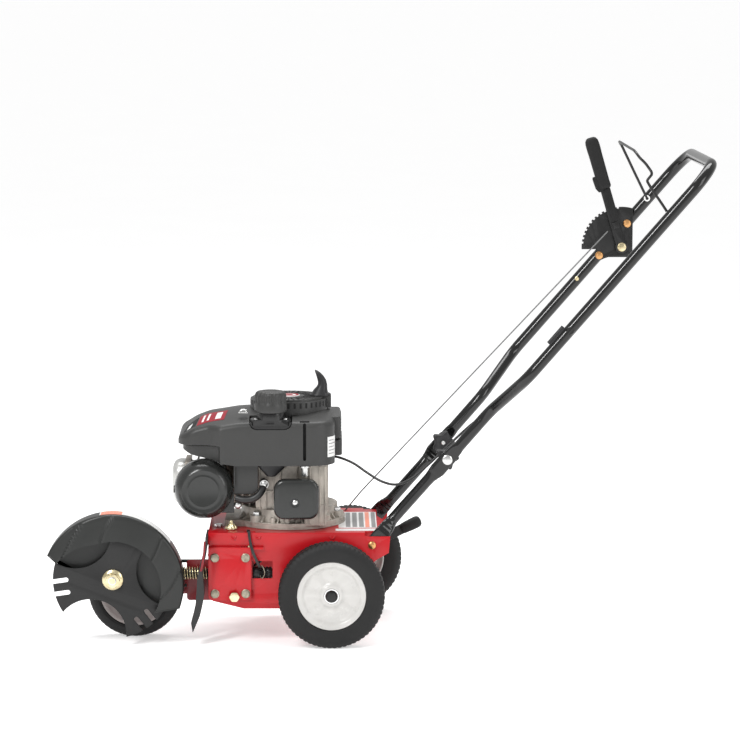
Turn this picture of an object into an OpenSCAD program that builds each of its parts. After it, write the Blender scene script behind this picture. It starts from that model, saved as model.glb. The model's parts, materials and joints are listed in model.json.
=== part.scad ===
// Walk-behind petrol lawn edger: three-lobe blade on a bevelling head, vertical-shaft engine on a pressed
// steel deck, three wheels, and a folding U-shaped handle with a depth lever and a blade control bail.
//
// Layout: every position is counted from the point on the floor under the rear axle, at the outer face of
// the left rear wheel. +X runs back towards the operator, +Y from the blade side to the far side, +Z up.
// place() then moves the whole machine so that the origin is at the middle of its footprint.

/* [Wheels] */
// Diameter of the two rear wheels
rear_wheel_d = 204; // [196:1:206]
// Width of the rear tyres
rear_wheel_w = 45; // [40:1:46]
// Diameter of the front wheel
front_wheel_d = 181; // [170:1:182]
// Width of the front tyre
front_wheel_w = 36; // [30:1:38]
// Diameter of the rear axle
axle_d = 16; // [12:1:18]

/* [Blade head] */
// Diameter swept by the blade
blade_d = 228.6; // [200:0.1:230]
// Thickness of the blade
blade_t = 3.5; // [3:0.5:4]
// Outer radius of the blade guard
guard_r = 137; // [134:1:139]
// Diameter of the shaft that the head bevels on
bevel_shaft_d = 18; // [16:1:18]

/* [Deck] */
// Width of the deck over its side sheets
deck_w = 265; // [260:1:270]
// Height of the deck's top face above the floor
deck_z = 215; // [213:1:216]
// Thickness of the deck's sheet steel
sheet_t = 3; // [2:0.5:3]

/* [Handle] */
// Diameter of the handle tubes
tube_d = 22; // [20:1:22]
// Wall of the handle tubes
tube_wall = 1.6; // [1.2:0.2:2]
// Angle of the handle above the floor
handle_deg = 49; // [45:1:52]
// Length of the upper handle from its joint bolts to its crossbar
handle_reach = 752; // [700:1:780]
// Width between the centres of the upper handle's tubes
handle_w = 416; // [400:1:430]
// Radius of the handle's top corners
handle_corner_r = 62; // [50:1:80]

/* [Engine] */
// Radius of the engine's round base
base_r = 108; // [100:1:112]
// Radius of the recoil starter housing
recoil_r = 75; // [70:1:76]
// Diameter of the fuel cap
cap_d = 63; // [56:1:64]

/* [Hidden] */
$fn = 48;

// Paint and material colours
red = [0.80, 0.07, 0.09];
dark_red = [0.45, 0.05, 0.07];
black = [0.07, 0.07, 0.08];
grey = [0.28, 0.28, 0.28];
rim_white = [0.86, 0.86, 0.84];
steel = [0.72, 0.72, 0.72];
zinc = [0.85, 0.75, 0.45];
cast = [0.66, 0.63, 0.60];

// Footprint centre, where the origin goes
foot_x = 91.8;
foot_y = 196.75;

// Deck
deck_y0 = 62;
deck_y1 = deck_y0 + deck_w;
mid_y = deck_y0 + deck_w / 2;
deck_x0 = -236;
deck_x1 = 64;
deck_back_x = 90;
under_deck = deck_z - sheet_t;
side_z = 67;

// Axles and pivots, as [x, z]
rear_axle_at = [0, rear_wheel_d / 2];
right_wheel_at = [39.6, rear_wheel_d / 2 + 9];
front_wheel_at = [-381, front_wheel_d / 2];
depth_pivot = [-186, 93];
blade_at = [-418, 129];
guard_at = [-419, 118.5];
ear_bolt_at = [77.8, 190];
fold_at = [222.2, 354];
lever_at = [582.4, 733.8];
bail_at = [632, 831];

// Bevel shaft, along X
bevel_y = 76;
bevel_z = 134;
bevel_r = bevel_shaft_d / 2;

// Engine
crank_x = -82;
crank_y = 195;
shaft_r = 11;
run = 0.05;
base_bolts = [for (a = [60, 130, 230, 345]) [crank_x + 96 * cos(a), crank_y + 96 * sin(a)]];
cap_at = [-116, 92];
muffler_at = [-245, 294];
muffler_r = 57;
rope_x = -12;

// Wheels
front_wheel_y = 115;
right_wheel_y = 342;
rim_r = 66;

// Drive belt
belt_y = 100.5;
belt_r = 24;
idler_at = [-218, 124.5];
idler_r = 20;
belt_top_z = blade_at[1] + belt_r;
belt_low_z = blade_at[1] - belt_r;
engine_pulley_z = 160;

// ---- helpers ----

module place() {
    translate([-foot_x, -foot_y, 0]) children();
}

// Repeats a left-hand part on the right of the machine's middle plane
module far_side() {
    translate([0, 2 * mid_y, 0]) mirror([0, 1, 0]) children();
}

// Round bar along Y, centred at p = [x, z]
module bar_y(p, y0, y1, r) {
    translate([p[0], y0, p[1]]) rotate([-90, 0, 0]) cylinder(h = y1 - y0, r = r);
}

// Round bar along X
module bar_x(x0, x1, y, z, r) {
    translate([x0, y, z]) rotate([0, 90, 0]) cylinder(h = x1 - x0, r = r);
}

// Round bar along Z
module bar_z(x, y, z0, z1, r) {
    translate([x, y, z0]) cylinder(h = z1 - z0, r = r);
}

// Hexagon along Y
module hex_y(p, y0, y1, r) {
    translate([p[0], y0, p[1]]) rotate([-90, 0, 0]) cylinder(h = y1 - y0, r = r, $fn = 6);
}

// Hexagon along Z
module hex_z(x, y, z0, z1, r) {
    translate([x, y, z0]) cylinder(h = z1 - z0, r = r, $fn = 6);
}

// An outline drawn in X and Z, as a sheet from y0 to y1
module sheet_xz(y0, y1) {
    translate([0, y1, 0]) rotate([90, 0, 0]) linear_extrude(height = y1 - y0) children();
}

// Box from one corner to the other
module box(a, b) {
    translate(a) cube(b - a);
}

// Ring turned about the Y axis at p; the outline is drawn as [radius, y]
module turned_y(p) {
    translate([p[0], 0, p[1]]) rotate([-90, 0, 0]) rotate_extrude() children();
}

// Rounded rectangle from a to b
module round_rect(a, b, r) {
    translate([a[0] + r, a[1]]) square([b[0] - a[0] - 2 * r, b[1] - a[1]]);
    translate([a[0], a[1] + r]) square([b[0] - a[0], b[1] - a[1] - 2 * r]);
    for (x = [a[0] + r, b[0] - r])
        for (y = [a[1] + r, b[1] - r])
            translate([x, y]) circle(r = r);
}

// Flat strap between two points of an [x, z] outline; its round ends are a little wider than its middle
module strap(p, q, r) {
    d = q - p;
    waist = r - 0.5;
    translate(p) circle(r = r);
    translate(q) circle(r = r);
    translate(p) rotate(atan2(d[1], d[0])) translate([0, -waist]) square([norm(d), 2 * waist]);
}

function unit(v) = v / norm(v);

// Direction of a route at point i
function heading(route, i) =
    unit(route[min(i + 1, len(route) - 1)] - route[max(i - 1, 0)]);

// Points along an arc in the X-Z plane
function arc_xz(p, y, r, a0, a1, n) =
    [for (i = [0 : n]) let (a = a0 + (a1 - a0) * i / n) [p[0] + r * cos(a), y, p[1] + r * sin(a)]];

// One smooth curve through hand-placed points (Catmull-Rom), n steps to a span
function smooth(p, n) = concat(
    [for (i = [0 : len(p) - 2]) for (k = [0 : n - 1]) let (
        a = p[max(i - 1, 0)], b = p[i], c = p[i + 1], d = p[min(i + 2, len(p) - 1)], t = k / n
    ) 0.5 * (2 * b + (c - a) * t + (2 * a - 5 * b + 4 * c - d) * t * t + (3 * b - a - 3 * c + d) * t * t * t)],
    [p[len(p) - 1]]);

// Round solid tube swept along a route; up is any direction that the route never takes
module sweep(route, r, sides = 8, up = [0, 0, 1]) {
    rings = [for (i = [0 : len(route) - 1]) let (
        h = heading(route, i), u = unit(cross(h, up)), v = cross(h, u)
    ) for (k = [0 : sides - 1]) let (a = 360 * k / sides) route[i] + r * (cos(a) * u + sin(a) * v)];
    last = (len(route) - 1) * sides;
    walls = [for (i = [0 : len(route) - 2]) for (k = [0 : sides - 1]) for (half = [0, 1]) let (
        a = i * sides + k, b = i * sides + (k + 1) % sides
    ) half == 0 ? [a, a + sides, b + sides] : [a, b + sides, b]];
    start = [[for (k = [0 : sides - 1]) k]];
    end = [[for (k = [sides - 1 : -1 : 0]) last + k]];
    polyhedron(points = rings, faces = concat(start, walls, end));
}

// Round closed loop swept along a route
module loop_sweep(route, r, sides = 8) {
    n = len(route);
    rings = [for (i = [0 : n - 1]) let (
        h = unit(route[(i + 1) % n] - route[(i + n - 1) % n]),
        u = unit(cross(h, [0.13, 1, 0.31])), v = cross(h, u)
    ) for (k = [0 : sides - 1]) let (a = 360 * k / sides) route[i] + r * (cos(a) * u + sin(a) * v)];
    walls = [for (i = [0 : n - 1]) for (k = [0 : sides - 1]) for (half = [0, 1]) let (
        a = i * sides + k, b = i * sides + (k + 1) % sides, step = ((i + 1) % n - i) * sides
    ) half == 0 ? [a, a + step, b + step] : [a, b + step, b]];
    polyhedron(points = rings, faces = walls);
}

// ---- deck and frame ----

side_outline = [
    [deck_x0, 96], [-228, 82], [-168, side_z], [48, side_z], [60, 80], [60, 140], [86, 161], [110, 175],
    [113, 207], [deck_x1, 207], [deck_x1, deck_z], [deck_x0, deck_z]
];

module side_sheet() {
    difference() {
        sheet_xz(deck_y0, deck_y0 + sheet_t) polygon(side_outline);
        bar_y(rear_axle_at, deck_y0 - 1, deck_y0 + sheet_t + 1, axle_d / 2 + run);
        bar_y(depth_pivot, deck_y0 - 1, deck_y0 + sheet_t + 1, 9);
        bar_y(ear_bolt_at, deck_y0 - 1, deck_y0 + sheet_t + 1, 4.2);
    }
}

// Back of the deck's top face, between the handles
deck_back = [
    [deck_x1 - 1, deck_y0 + 14], [deck_back_x, deck_y0 + 14], [deck_back_x, 104], [104, 110], [104, 186],
    [deck_back_x, 241], [deck_back_x, deck_y1 - 14], [deck_x1 - 1, deck_y1 - 14]
];

module main_frame() {
    color(red) place() difference() {
        union() {
            box([deck_x0, deck_y0, under_deck], [deck_x1, deck_y1, deck_z]);
            side_sheet();
            far_side() side_sheet();
            box([deck_x0, deck_y0, 190], [deck_x0 + sheet_t, deck_y1, deck_z]);
            translate([0, 0, under_deck]) linear_extrude(height = sheet_t) polygon(deck_back);
            box([deck_back_x - sheet_t, deck_y0 + 14, 190], [deck_back_x, deck_y1 - 14, deck_z]);
        }
        // clearance for the crankshaft and the belt pulley below it
        bar_z(crank_x, crank_y, under_deck - 1, deck_z + 1, 40);
        // idler spindle, depth cable and lock strap
        bar_z(idler_at[0], idler_at[1], under_deck - 1, deck_z + 1, 5.1);
        bar_z(25.4, 300, under_deck - 1, deck_z + 1, 5);
        box([-166, 66, under_deck - 1], [-146, 76, deck_z + 1]);
        // window in the left side over the end of the bevel shaft
        box([-152, deck_y0 - 1, 126], [-113, deck_y0 + sheet_t + 1, 160]);
        for (x = [-223.5, -164.5])
            for (z = [98, 168])
                bar_y([x, z], deck_y0 - 1, deck_y0 + sheet_t + 1, 4.2);
    }
}

module side_bracket() {
    color(red) place() difference() {
        union() {
            sheet_xz(53, 57) round_rect([deck_x0, 85], [-154, 188], 8);
            box([deck_x0, 53, 184], [-130, deck_y0, 188]);
            box([deck_x0, 55, 100], [deck_x0 + 4, deck_y0, 188]);
        }
        for (x = [-223.5, -164.5])
            for (z = [98, 168])
                bar_y([x, z], 50, 63, 4.2);
        bar_y(depth_pivot, 50, 63, 8 + run);
    }
}

// Flanged hex bolt along Y with a nut at the far end
module bolt_y(p, head_y, end_y, r, head_r) {
    hex_y(p, head_y - 5, head_y, head_r);
    bar_y(p, head_y - 1.5, head_y, head_r + 1.5);
    bar_y(p, head_y - 1, end_y, r);
    hex_y(p, end_y - 5, end_y - 1, head_r);
}

module frame_bolts() {
    color(steel) place() {
        for (x = [-223.5, -164.5])
            for (z = [98, 168])
                bolt_y([x, z], 53, 71, 4, 7);
        bolt_y(ear_bolt_at, 62, 77, 4, 7.5);
        far_side() bolt_y(ear_bolt_at, 62, 77, 4, 7.5);
    }
}

module head_bracket() {
    color(dark_red) place() difference() {
        union() {
            sheet_xz(90, 93) round_rect([-279, 78], [-150, 157], 6);
            box([-232, deck_y0 + sheet_t, 118], [-158, 90.5, 150]);
        }
        bar_x(-300, -140, bevel_y, bevel_z, bevel_r + run);
        bar_y(depth_pivot, 80, 100, 9);
    }
}

module idler_spindle() {
    color(steel) place() {
        bar_z(idler_at[0], idler_at[1], 90, deck_z + 6, 5);
        hex_z(idler_at[0], idler_at[1], deck_z, deck_z + 6, 8);
        bar_z(idler_at[0], idler_at[1], belt_low_z + 9, belt_top_z - 9, 9);
        hex_z(idler_at[0], idler_at[1], 86, 94, 8);
    }
}

module rear_axle() {
    color(steel) place() difference() {
        union() {
            bar_y(rear_axle_at, 4, 339, axle_d / 2);
            hex_y(rear_axle_at, 2, 7.5, 11);
            bar_y(rear_axle_at, 54, 61.5, 13);
        }
        bar_y(rear_axle_at, 1, 6, 4);
    }
}

// Tube with its ends pressed flat; s runs from the ear bolt to the fold bolt
lower_d = fold_at - ear_bolt_at;
lower_len = norm(lower_d);
lower_deg = atan2(lower_d[1], lower_d[0]);
lower_y = 89.5;

module flat_end(s0, s1, y0, y1) {
    box([s0, y0, -15], [s1, y1, 15]);
}

module lower_handle() {
    translate([ear_bolt_at[0], 0, ear_bolt_at[1]]) rotate([0, -lower_deg, 0]) difference() {
        union() {
            flat_end(-16, 34, 65, 71);
            hull() {
                flat_end(32, 34, 65, 71);
                bar_x(58, 60, lower_y, 0, tube_d / 2);
            }
            difference() {
                bar_x(60, lower_len - 52, lower_y, 0, tube_d / 2);
                bar_x(62, lower_len - 54, lower_y, 0, tube_d / 2 - tube_wall);
            }
            hull() {
                bar_x(lower_len - 52, lower_len - 50, lower_y, 0, tube_d / 2);
                flat_end(lower_len - 29, lower_len - 27, 78, 84);
            }
            flat_end(lower_len - 28, lower_len + 18, 78, 84);
        }
        translate([0, 60, 0]) rotate([-90, 0, 0]) cylinder(h = 20, r = 4.2);
        translate([lower_len, 70, 0]) rotate([-90, 0, 0]) cylinder(h = 20, r = 4 + run);
    }
}

module lower_handle_left() {
    color(black) place() lower_handle();
}

module lower_handle_right() {
    color(black) place() far_side() lower_handle();
}

// ---- engine ----

module crankcase() {
    color(cast) place() difference() {
        union() {
            bar_z(crank_x, crank_y, deck_z, deck_z + 12, base_r);
            box([-206, 130, deck_z], [-130, 260, deck_z + 12]);
            bar_z(crank_x, crank_y, deck_z + 10, deck_z + 36, base_r - 14);
            box([-146, 118, deck_z + 34], [-6, 272, 341]);
            box([-52, 92, deck_z + 8], [-8, 140, 341]);
            for (b = base_bolts)
                bar_z(b[0], b[1], deck_z, deck_z + 24, 13);
        }
        // crank chamber and its two shaft bearings
        bar_z(crank_x, crank_y, deck_z + 8, 330, 56);
        bar_z(crank_x, crank_y, deck_z - 1, 342, shaft_r + run);
        bar_x(-150, -100, crank_y, 295, 32);
        for (b = base_bolts)
            union() {
                bar_z(b[0], b[1], deck_z - 1, deck_z + 25, 4.2);
                bar_z(b[0], b[1], deck_z + 24, deck_z + 40, 10);
            }
        // oil drain passage under the rear column
        bar_z(-30, 108, 250, 342, 9);
    }
}

module cylinder_fins() {
    for (i = [0 : 8])
        box([-276 + 14.5 * i, 148, 252], [-273 + 14.5 * i, 242, 338]);
}

module cylinder_block() {
    color(cast) place() difference() {
        union() {
            bar_x(-284, -146, crank_y, 295, 40);
            cylinder_fins();
            box([-284, 150, 250], [-276, 240, 338]);
            // exhaust stub towards the muffler
            bar_y(muffler_at, 131, 160, 15);
        }
        bar_x(-278, -140, crank_y, 295, 32);
        bar_y(muffler_at, 130, 150, 10);
    }
}

module valve_cover() {
    color(steel) place() difference() {
        translate([-309, 0, 0]) rotate([90, 0, 90]) linear_extrude(height = 25)
            round_rect([155, 252], [235, 336], 14);
        translate([-305, 0, 0]) rotate([90, 0, 90]) linear_extrude(height = 22)
            round_rect([159, 256], [231, 332], 10);
    }
}

module muffler() {
    color(black) place() difference() {
        union() {
            turned_y(muffler_at) polygon([
                [0, 66], [16, 66], [20, 63], [30, 63], [34, 66], [46, 66], [muffler_r - 2, 70], [muffler_r, 78],
                [muffler_r, 118], [muffler_r - 4, 126], [44, 131], [0, 131]
            ]);
            // bracket down to the engine
            box([-230, 100, 247], [-187, 103, 290]);
        }
        turned_y(muffler_at) polygon([
            [0, 70], [44, 70], [muffler_r - 5, 74], [muffler_r - 3, 80], [muffler_r - 3, 116],
            [muffler_r - 6, 123], [43, 128], [0, 128]
        ]);
        bar_y(muffler_at, 127, 132, 10);
        translate([muffler_at[0] - 53, 98, muffler_at[1]]) rotate([0, -90, 0]) cylinder(h = 8, r = 7, center = true);
    }
}

module carburettor() {
    color(cast) place() difference() {
        union() {
            box([-92, 100, 258], [-53, 117.5, 300]);
            bar_y([-72, 278], 92, 118, 16);
            bar_z(-72, 108.7, 251, 266, 8.3);
        }
        bar_y([-72, 278], 90, 120, 9);
    }
}

filter_a = [-110, 241];
filter_b = [-24, 318];

module air_filter_base() {
    color(black) place() difference() {
        sheet_xz(69, 92) round_rect(filter_a + [3, 3], filter_b - [3, 3], 16);
        sheet_xz(66, 90) round_rect(filter_a + [6, 6], filter_b - [6, 6], 13);
        bar_y([-72, 278], 85, 95, 12);
    }
}

module air_filter_cover() {
    color(grey) place() difference() {
        union() {
            sheet_xz(58, 69) round_rect(filter_a, filter_b, 19);
            sheet_xz(55, 58.5) round_rect(filter_a + [6, 6], filter_b - [6, 6], 14);
        }
        sheet_xz(61, 70) round_rect(filter_a + [3, 3], filter_b - [3, 3], 16);
        bar_y([-69.5, 274], 53, 59, 9);
        bar_y([-69.5, 274], 50, 64, 3.2);
    }
}

shroud_z = 342;

// Outside of the shroud, or its inside when inset is the wall
module shroud_body(inset) {
    low = shroud_z - (inset > 0 ? 2 : 0);
    intersection() {
        translate([0, 0, shroud_z - 3]) linear_extrude(height = 120)
            round_rect([-295 + inset, 75 + inset], [7 - inset, 315 - inset], 46 - inset);
        sheet_xz(70, 320) polygon([
            [-296, low + 28], [-296, 396 - inset], [-282, 413 - inset], [-252, 427 - inset],
            [-205, 437 - inset], [-150, 441 - inset], [-20, 440 - inset], [8, 432 - inset], [8, low],
            [-182, low], [-213, low + 4.5], [-275, low + 18.5]
        ]);
    }
}

module engine_shroud() {
    color(grey) place() {
        difference() {
            shroud_body(0);
            shroud_body(3);
            // recoil housing, fuel filler and the dark cooling slot on the left side
            bar_z(crank_x, crank_y, 420, 450, recoil_r + 0.5);
            intersection() {
                bar_z(cap_at[0], cap_at[1], 420, 450, 42);
                box([-170, 60, 415], [-60, 120, 455]);
            }
            box([-54, 70, 352], [-48, 82, 424]);
            // arch over the muffler, and the brake cable's notch
            bar_y(muffler_at, 60, 135, muffler_r + 2);
            box([0, 143, 340], [8, 155, 355]);
            // louvres at the back
            for (z = [360 : 12 : 420])
                box([2, 165, z], [10, 265, z + 5]);
        }
        // fan cowl at the back
        difference() {
            box([5, 128, 354], [21, 262, 430]);
            box([3, 131, 357], [18, 259, 427]);
        }
        // cowl panel beside the muffler
        box([-187.5, 95, 284], [-141, 98, 349]);
        box([-187.5, 77, 346], [-141, 98, 349]);
    }
}

module fuel_tank() {
    color(black) place() difference() {
        union() {
            translate([0, 0, 352]) linear_extrude(height = 66) round_rect([-196, 81], [-60, 118], 12);
            intersection() {
                bar_z(cap_at[0], cap_at[1], 416, 431, 39);
                box([-170, 79, 415], [-60, 109, 455]);
            }
            intersection() {
                bar_z(cap_at[0], cap_at[1], 420.5, 431, 39);
                box([-170, 71, 415], [-60, 109, 455]);
            }
            bar_z(cap_at[0], cap_at[1], 430, 444, 26);
        }
        translate([0, 0, 355]) linear_extrude(height = 60) round_rect([-193, 84], [-63, 115], 9);
        bar_z(cap_at[0], 99, 400, 424, 14);
        bar_z(cap_at[0], cap_at[1], 424, 445, 22);
    }
}

module recoil_housing() {
    color(grey) place() difference() {
        union() {
            bar_z(crank_x, crank_y, 416, 458, recoil_r);
            bar_z(crank_x, crank_y, 457, 462, recoil_r - 7);
            // rope guide
            box([-26, crank_y - 14, 440], [0, crank_y + 14, 462]);
        }
        bar_z(crank_x, crank_y, 415, 455, recoil_r - 3);
        for (a = [0 : 15 : 345])
            translate([crank_x, crank_y, 450]) rotate([0, 0, a + 7.5]) translate([34, -2.2, 0]) cube([20, 4.4, 20]);
        bar_z(rope_x, crank_y, 438, 470, 3);
    }
}

module breather_hose() {
    color(black) place() sweep(smooth([
        [-183, 90, 278], [-170, 86, 275], [-154, 85, 276], [-141, 86, 283], [-133, 92, 293],
        [-130, 103, 302], [-129.5, 117, 305]
    ], 4), 7, 10);
}

module engine_bolts() {
    color(zinc) place() {
        for (b = base_bolts) {
            hex_z(b[0], b[1], deck_z + 24, deck_z + 31, 8);
            bar_z(b[0], b[1], deck_z + 1, deck_z + 26, 4);
        }
        // filler neck screws
        for (x = [-144, -88])
            bar_z(x, 79, 431, 434.5, 4.5);
        // air filter screw
        bar_y([-69.5, 274], 55.5, 59, 6);
        bar_y([-69.5, 274], 58, 66, 3);
        // stud and brass nut at the deck's front left corner
        bar_z(-193, 96, deck_z, deck_z + 18, 4);
        hex_z(-193, 96, deck_z, deck_z + 11, 11);
    }
}

module dipstick() {
    color(steel) place() {
        bar_z(-30, 108, 325, 341, 8.5);
        bar_z(-51, 82, 322, 340, 7);
        bar_z(-51, 82, 338, 341.5, 9);
        box([-54, 82, 323], [-48, 91.5, 332]);
    }
}

module crankshaft() {
    color(steel) place() {
        bar_z(crank_x, crank_y, 146, 414, shaft_r);
        bar_z(crank_x, crank_y, 248, 268, 34);
        bar_z(crank_x, crank_y, 292, 312, 34);
        hex_z(crank_x, crank_y, 412, 422, 13);
    }
}

// V-grooved pulley outline as [radius, position]
module pulley_outline(r, w, bore) {
    polygon([
        [bore, -w / 2], [r, -w / 2], [r, -w / 2 + 1.2], [r - 8, -2.6], [r - 8, 2.6], [r, w / 2 - 1.2],
        [r, w / 2], [bore, w / 2]
    ]);
}

module engine_pulley() {
    color(steel) place() translate([crank_x, crank_y, engine_pulley_z]) rotate_extrude()
        pulley_outline(belt_r + 3.5, 15, shaft_r + 0.02);
}

module flywheel() {
    color(cast) place() difference() {
        union() {
            bar_z(crank_x, crank_y, 372, 392, 64);
            for (a = [0 : 20 : 340])
                translate([crank_x, crank_y, 390]) rotate([0, 0, a]) translate([36, -1.5, 0]) cube([26, 3, 18]);
            bar_z(crank_x, crank_y, 360, 400, 22);
        }
        bar_z(crank_x, crank_y, 350, 410, shaft_r + 0.02);
        difference() {
            bar_z(crank_x, crank_y, 371, 384, 57);
            bar_z(crank_x, crank_y, 370, 385, 24);
        }
    }
}

module fuel_cap() {
    color(grey) place() translate([cap_at[0], cap_at[1], 0]) difference() {
        union() {
            bar_z(0, 0, 445.5, 463, cap_d / 2);
            bar_z(0, 0, 463, 477, cap_d / 2 - 1);
            translate([0, 0, 477]) cylinder(h = 5, r1 = cap_d / 2 - 1, r2 = cap_d / 2 - 4);
            translate([0, 0, 482]) cylinder(h = 3.5, r1 = cap_d / 2 - 4, r2 = cap_d / 2 - 10);
        }
        bar_z(0, 0, 444, 461, 27);
        for (a = [0 : 20 : 340])
            rotate([0, 0, a]) translate([cap_d / 2, 0, 464]) cylinder(h = 24, r = 2.2);
    }
}

module starter_grip() {
    color(black) place() difference() {
        union() {
            sheet_xz(crank_y - 10, crank_y + 10) polygon([
                [-3, 462.5], [-4, 470], [-8.5, 482], [-16, 496.5], [-30, 512.5], [-32, 511], [-26, 497], [-25.5, 488],
                [-30, 478], [-38, 470], [-46, 466], [-46, 462.5]
            ]);
            box([-34, crank_y - 19, 462.5], [-5, crank_y + 19, 471]);
        }
        bar_z(rope_x, crank_y, 460, 475, 2.05);
    }
}

module starter_rope() {
    color(rim_white) place() bar_z(rope_x, crank_y, 350, 474.5, 2);
}

// ---- drive belt and idlers ----

// Points round an upright idler or pulley, from angle a0 to a1
function belt_arc(c, z, a0, a1, n) =
    [for (i = [0 : n]) let (a = a0 + (a1 - a0) * i / n) [c[0] + belt_r * cos(a), c[1] + belt_r * sin(a), z]];

belt_route = concat(
    arc_xz(blade_at, belt_y, belt_r, 90, 270, 12),
    [[-330, belt_y, belt_low_z]],
    belt_arc(idler_at, belt_low_z, -90, -45, 3),
    [[-193, 115.5, belt_low_z + 2], [-160, 148, 124], [-134, 175, 143], [-112, 198.3, engine_pulley_z - 0.5]],
    belt_arc([crank_x, crank_y], engine_pulley_z, 136, -66, 12),
    [[-89, 165.7, engine_pulley_z], [-120, 151.8, 159], [-160, 134, 157], [-195, 111, belt_top_z + 0.5]],
    belt_arc(idler_at, belt_top_z, -57, -90, 3),
    [[-330, belt_y, belt_top_z]]
);

module v_belt() {
    color(black) place() loop_sweep(belt_route, 3.2, 8);
}

module idler(z) {
    translate([idler_at[0], idler_at[1], z]) rotate_extrude()
        polygon([[5 + run, -8], [idler_r + 2, -8], [idler_r + 2, -6], [idler_r - 0.5, -5],
                 [idler_r - 0.5, 5], [idler_r + 2, 6], [idler_r + 2, 8], [5 + run, 8]]);
}

module idler_upper() {
    color(grey) place() idler(belt_top_z);
}

module idler_lower() {
    color(grey) place() idler(belt_low_z);
}

// ---- blade head ----

module bevel_shaft() {
    color(black) place() difference() {
        union() {
            bar_x(-392, -113, bevel_y, bevel_z, bevel_r);
            bar_x(-150, -138, bevel_y, bevel_z, bevel_r + 3.5);
            bar_x(-124, -116, bevel_y, bevel_z, bevel_r + 2);
        }
        bar_y([-131, bevel_z], bevel_y - 15, bevel_y + 15, 2.2);
    }
}

spring_turns = 9;

module bevel_spring() {
    color(zinc) place() sweep([for (i = [0 : 12 * spring_turns]) let (a = 30 * i)
        [-284 + 46 * i / (12 * spring_turns), bevel_y + 11.2 * cos(a), bevel_z + 11.2 * sin(a)]],
        1.5, 6, [1, 0, 0]);
}

module spindle_housing() {
    color(dark_red) place() difference() {
        union() {
            bar_y(blade_at, 50, 92, 22);
            bar_x(-418, -368, bevel_y, bevel_z, 15);
        }
        bar_y(blade_at, 52, 90, 17);
        bar_y(blade_at, 49, 93, 12);
        bar_x(-392.5, -360, bevel_y, bevel_z, bevel_r + 0.02);
    }
}

module spindle_bearings() {
    color(steel) place() {
        for (y = [52, 79])
            difference() {
                bar_y(blade_at, y, y + 11, 17);
                bar_y(blade_at, y - 1, y + 12, 8 + run);
            }
    }
}

module arbor() {
    color(steel) place() {
        bar_y(blade_at, 24, 108, 8);
        difference() {
            bar_y(blade_at, 42, 48.5, 16);
            bar_y(blade_at, 41, 49, 7.9);
        }
        hex_y(blade_at, 106.2, 111, 10);
    }
}

blade_y = 38.3;

module lobe_slots() {
    for (a = [68, 188, 308])
        rotate(a)
            for (s = [-12.2, 12.2])
                translate([blade_d / 2 - 26, s - 4.5]) square([40, 9]);
}

module blade() {
    color(grey) place() sheet_xz(blade_y, blade_y + blade_t) translate(blade_at) difference() {
        circle(r = blade_d / 2);
        circle(r = 8.02);
        for (a = [8, 128, 248])
            rotate(a) translate([blade_d / 2, 0]) circle(r = 68);
        lobe_slots();
        for (a = [68, 188, 308])
            rotate(a)
                for (s = [-12.2, 12.2])
                    translate([blade_d / 2 - 26, s]) circle(r = 4.5);
    }
}

module blade_nut() {
    color(zinc) place() difference() {
        union() {
            bar_y(blade_at, 34, blade_y, 20);
            hex_y(blade_at, 25.5, 35, 14.5);
        }
        bar_y(blade_at, 20, 45, 8.02);
    }
}

module blade_pulley() {
    color(steel) place() translate([blade_at[0], belt_y, blade_at[1]]) rotate([-90, 0, 0]) rotate_extrude()
        pulley_outline(belt_r + 3.5, 11, 8.02);
}

guard_a0 = -23;
guard_a1 = 155;

// Wedge of the guard's sector, for cutting rings
module guard_sector() {
    polygon(concat([[0, 0]], [for (i = [0 : 6]) let (a = guard_a0 + (guard_a1 - guard_a0) * i / 6)
        [190 * cos(a), 190 * sin(a)]]));
}

module blade_guard() {
    color(grey) place() difference() {
        intersection() {
            translate([guard_at[0], 0, guard_at[1]]) rotate([-90, 0, 0]) rotate_extrude() polygon([
                [96, 28], [99, 27], [guard_r - 2, 34.5], [guard_r, 38.5], [guard_r, 84], [28, 84], [28, 81],
                [guard_r - 4, 81], [guard_r - 4, 37.5], [96, 30.5]
            ]);
            sheet_xz(20, 90) translate(guard_at) guard_sector();
        }
        // room for the head's housing and bevel shaft
        bar_y(blade_at, 70, 90, 24);
        box([-420, 56, bevel_z - 17], [-270, 92, bevel_z + 17]);
    }
}

// ---- front wheel ----

module front_arm() {
    color(dark_red) place() difference() {
        union() {
            sheet_xz(155, 160) strap(depth_pivot, front_wheel_at, 15);
            bar_y(depth_pivot, 48, 306, 8);
            hex_y(depth_pivot, 44, 49, 9.5);
            bar_y(depth_pivot, 147, 155.5, 13);
            bar_y(depth_pivot, 159.5, 168, 13);
            sheet_xz(290, 295) strap(depth_pivot, depth_pivot + [43, -42], 9);
            bar_y(depth_pivot + [43, -42], 292, 303, 2.5);
        }
        bar_y(front_wheel_at, 150, 165, 8.02);
    }
}

module front_axle() {
    color(steel) place() {
        bar_y(front_wheel_at, 112, 163, 8);
        hex_y(front_wheel_at, 109, 113, 10);
        hex_y(front_wheel_at, 160, 168, 12);
        bar_y(front_wheel_at, 151.5, 155, 12);
    }
}

// Tyre outline as [radius, distance from the outer face]
module tyre_outline(r, inner, w) {
    polygon([
        [inner, 3], [inner + 8, 1.5], [r - 12, 0], [r - 4, 2], [r, 8], [r, w - 8], [r - 4, w - 2],
        [r - 12, w], [inner + 8, w - 1.5], [inner, w - 3]
    ]);
}

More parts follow.
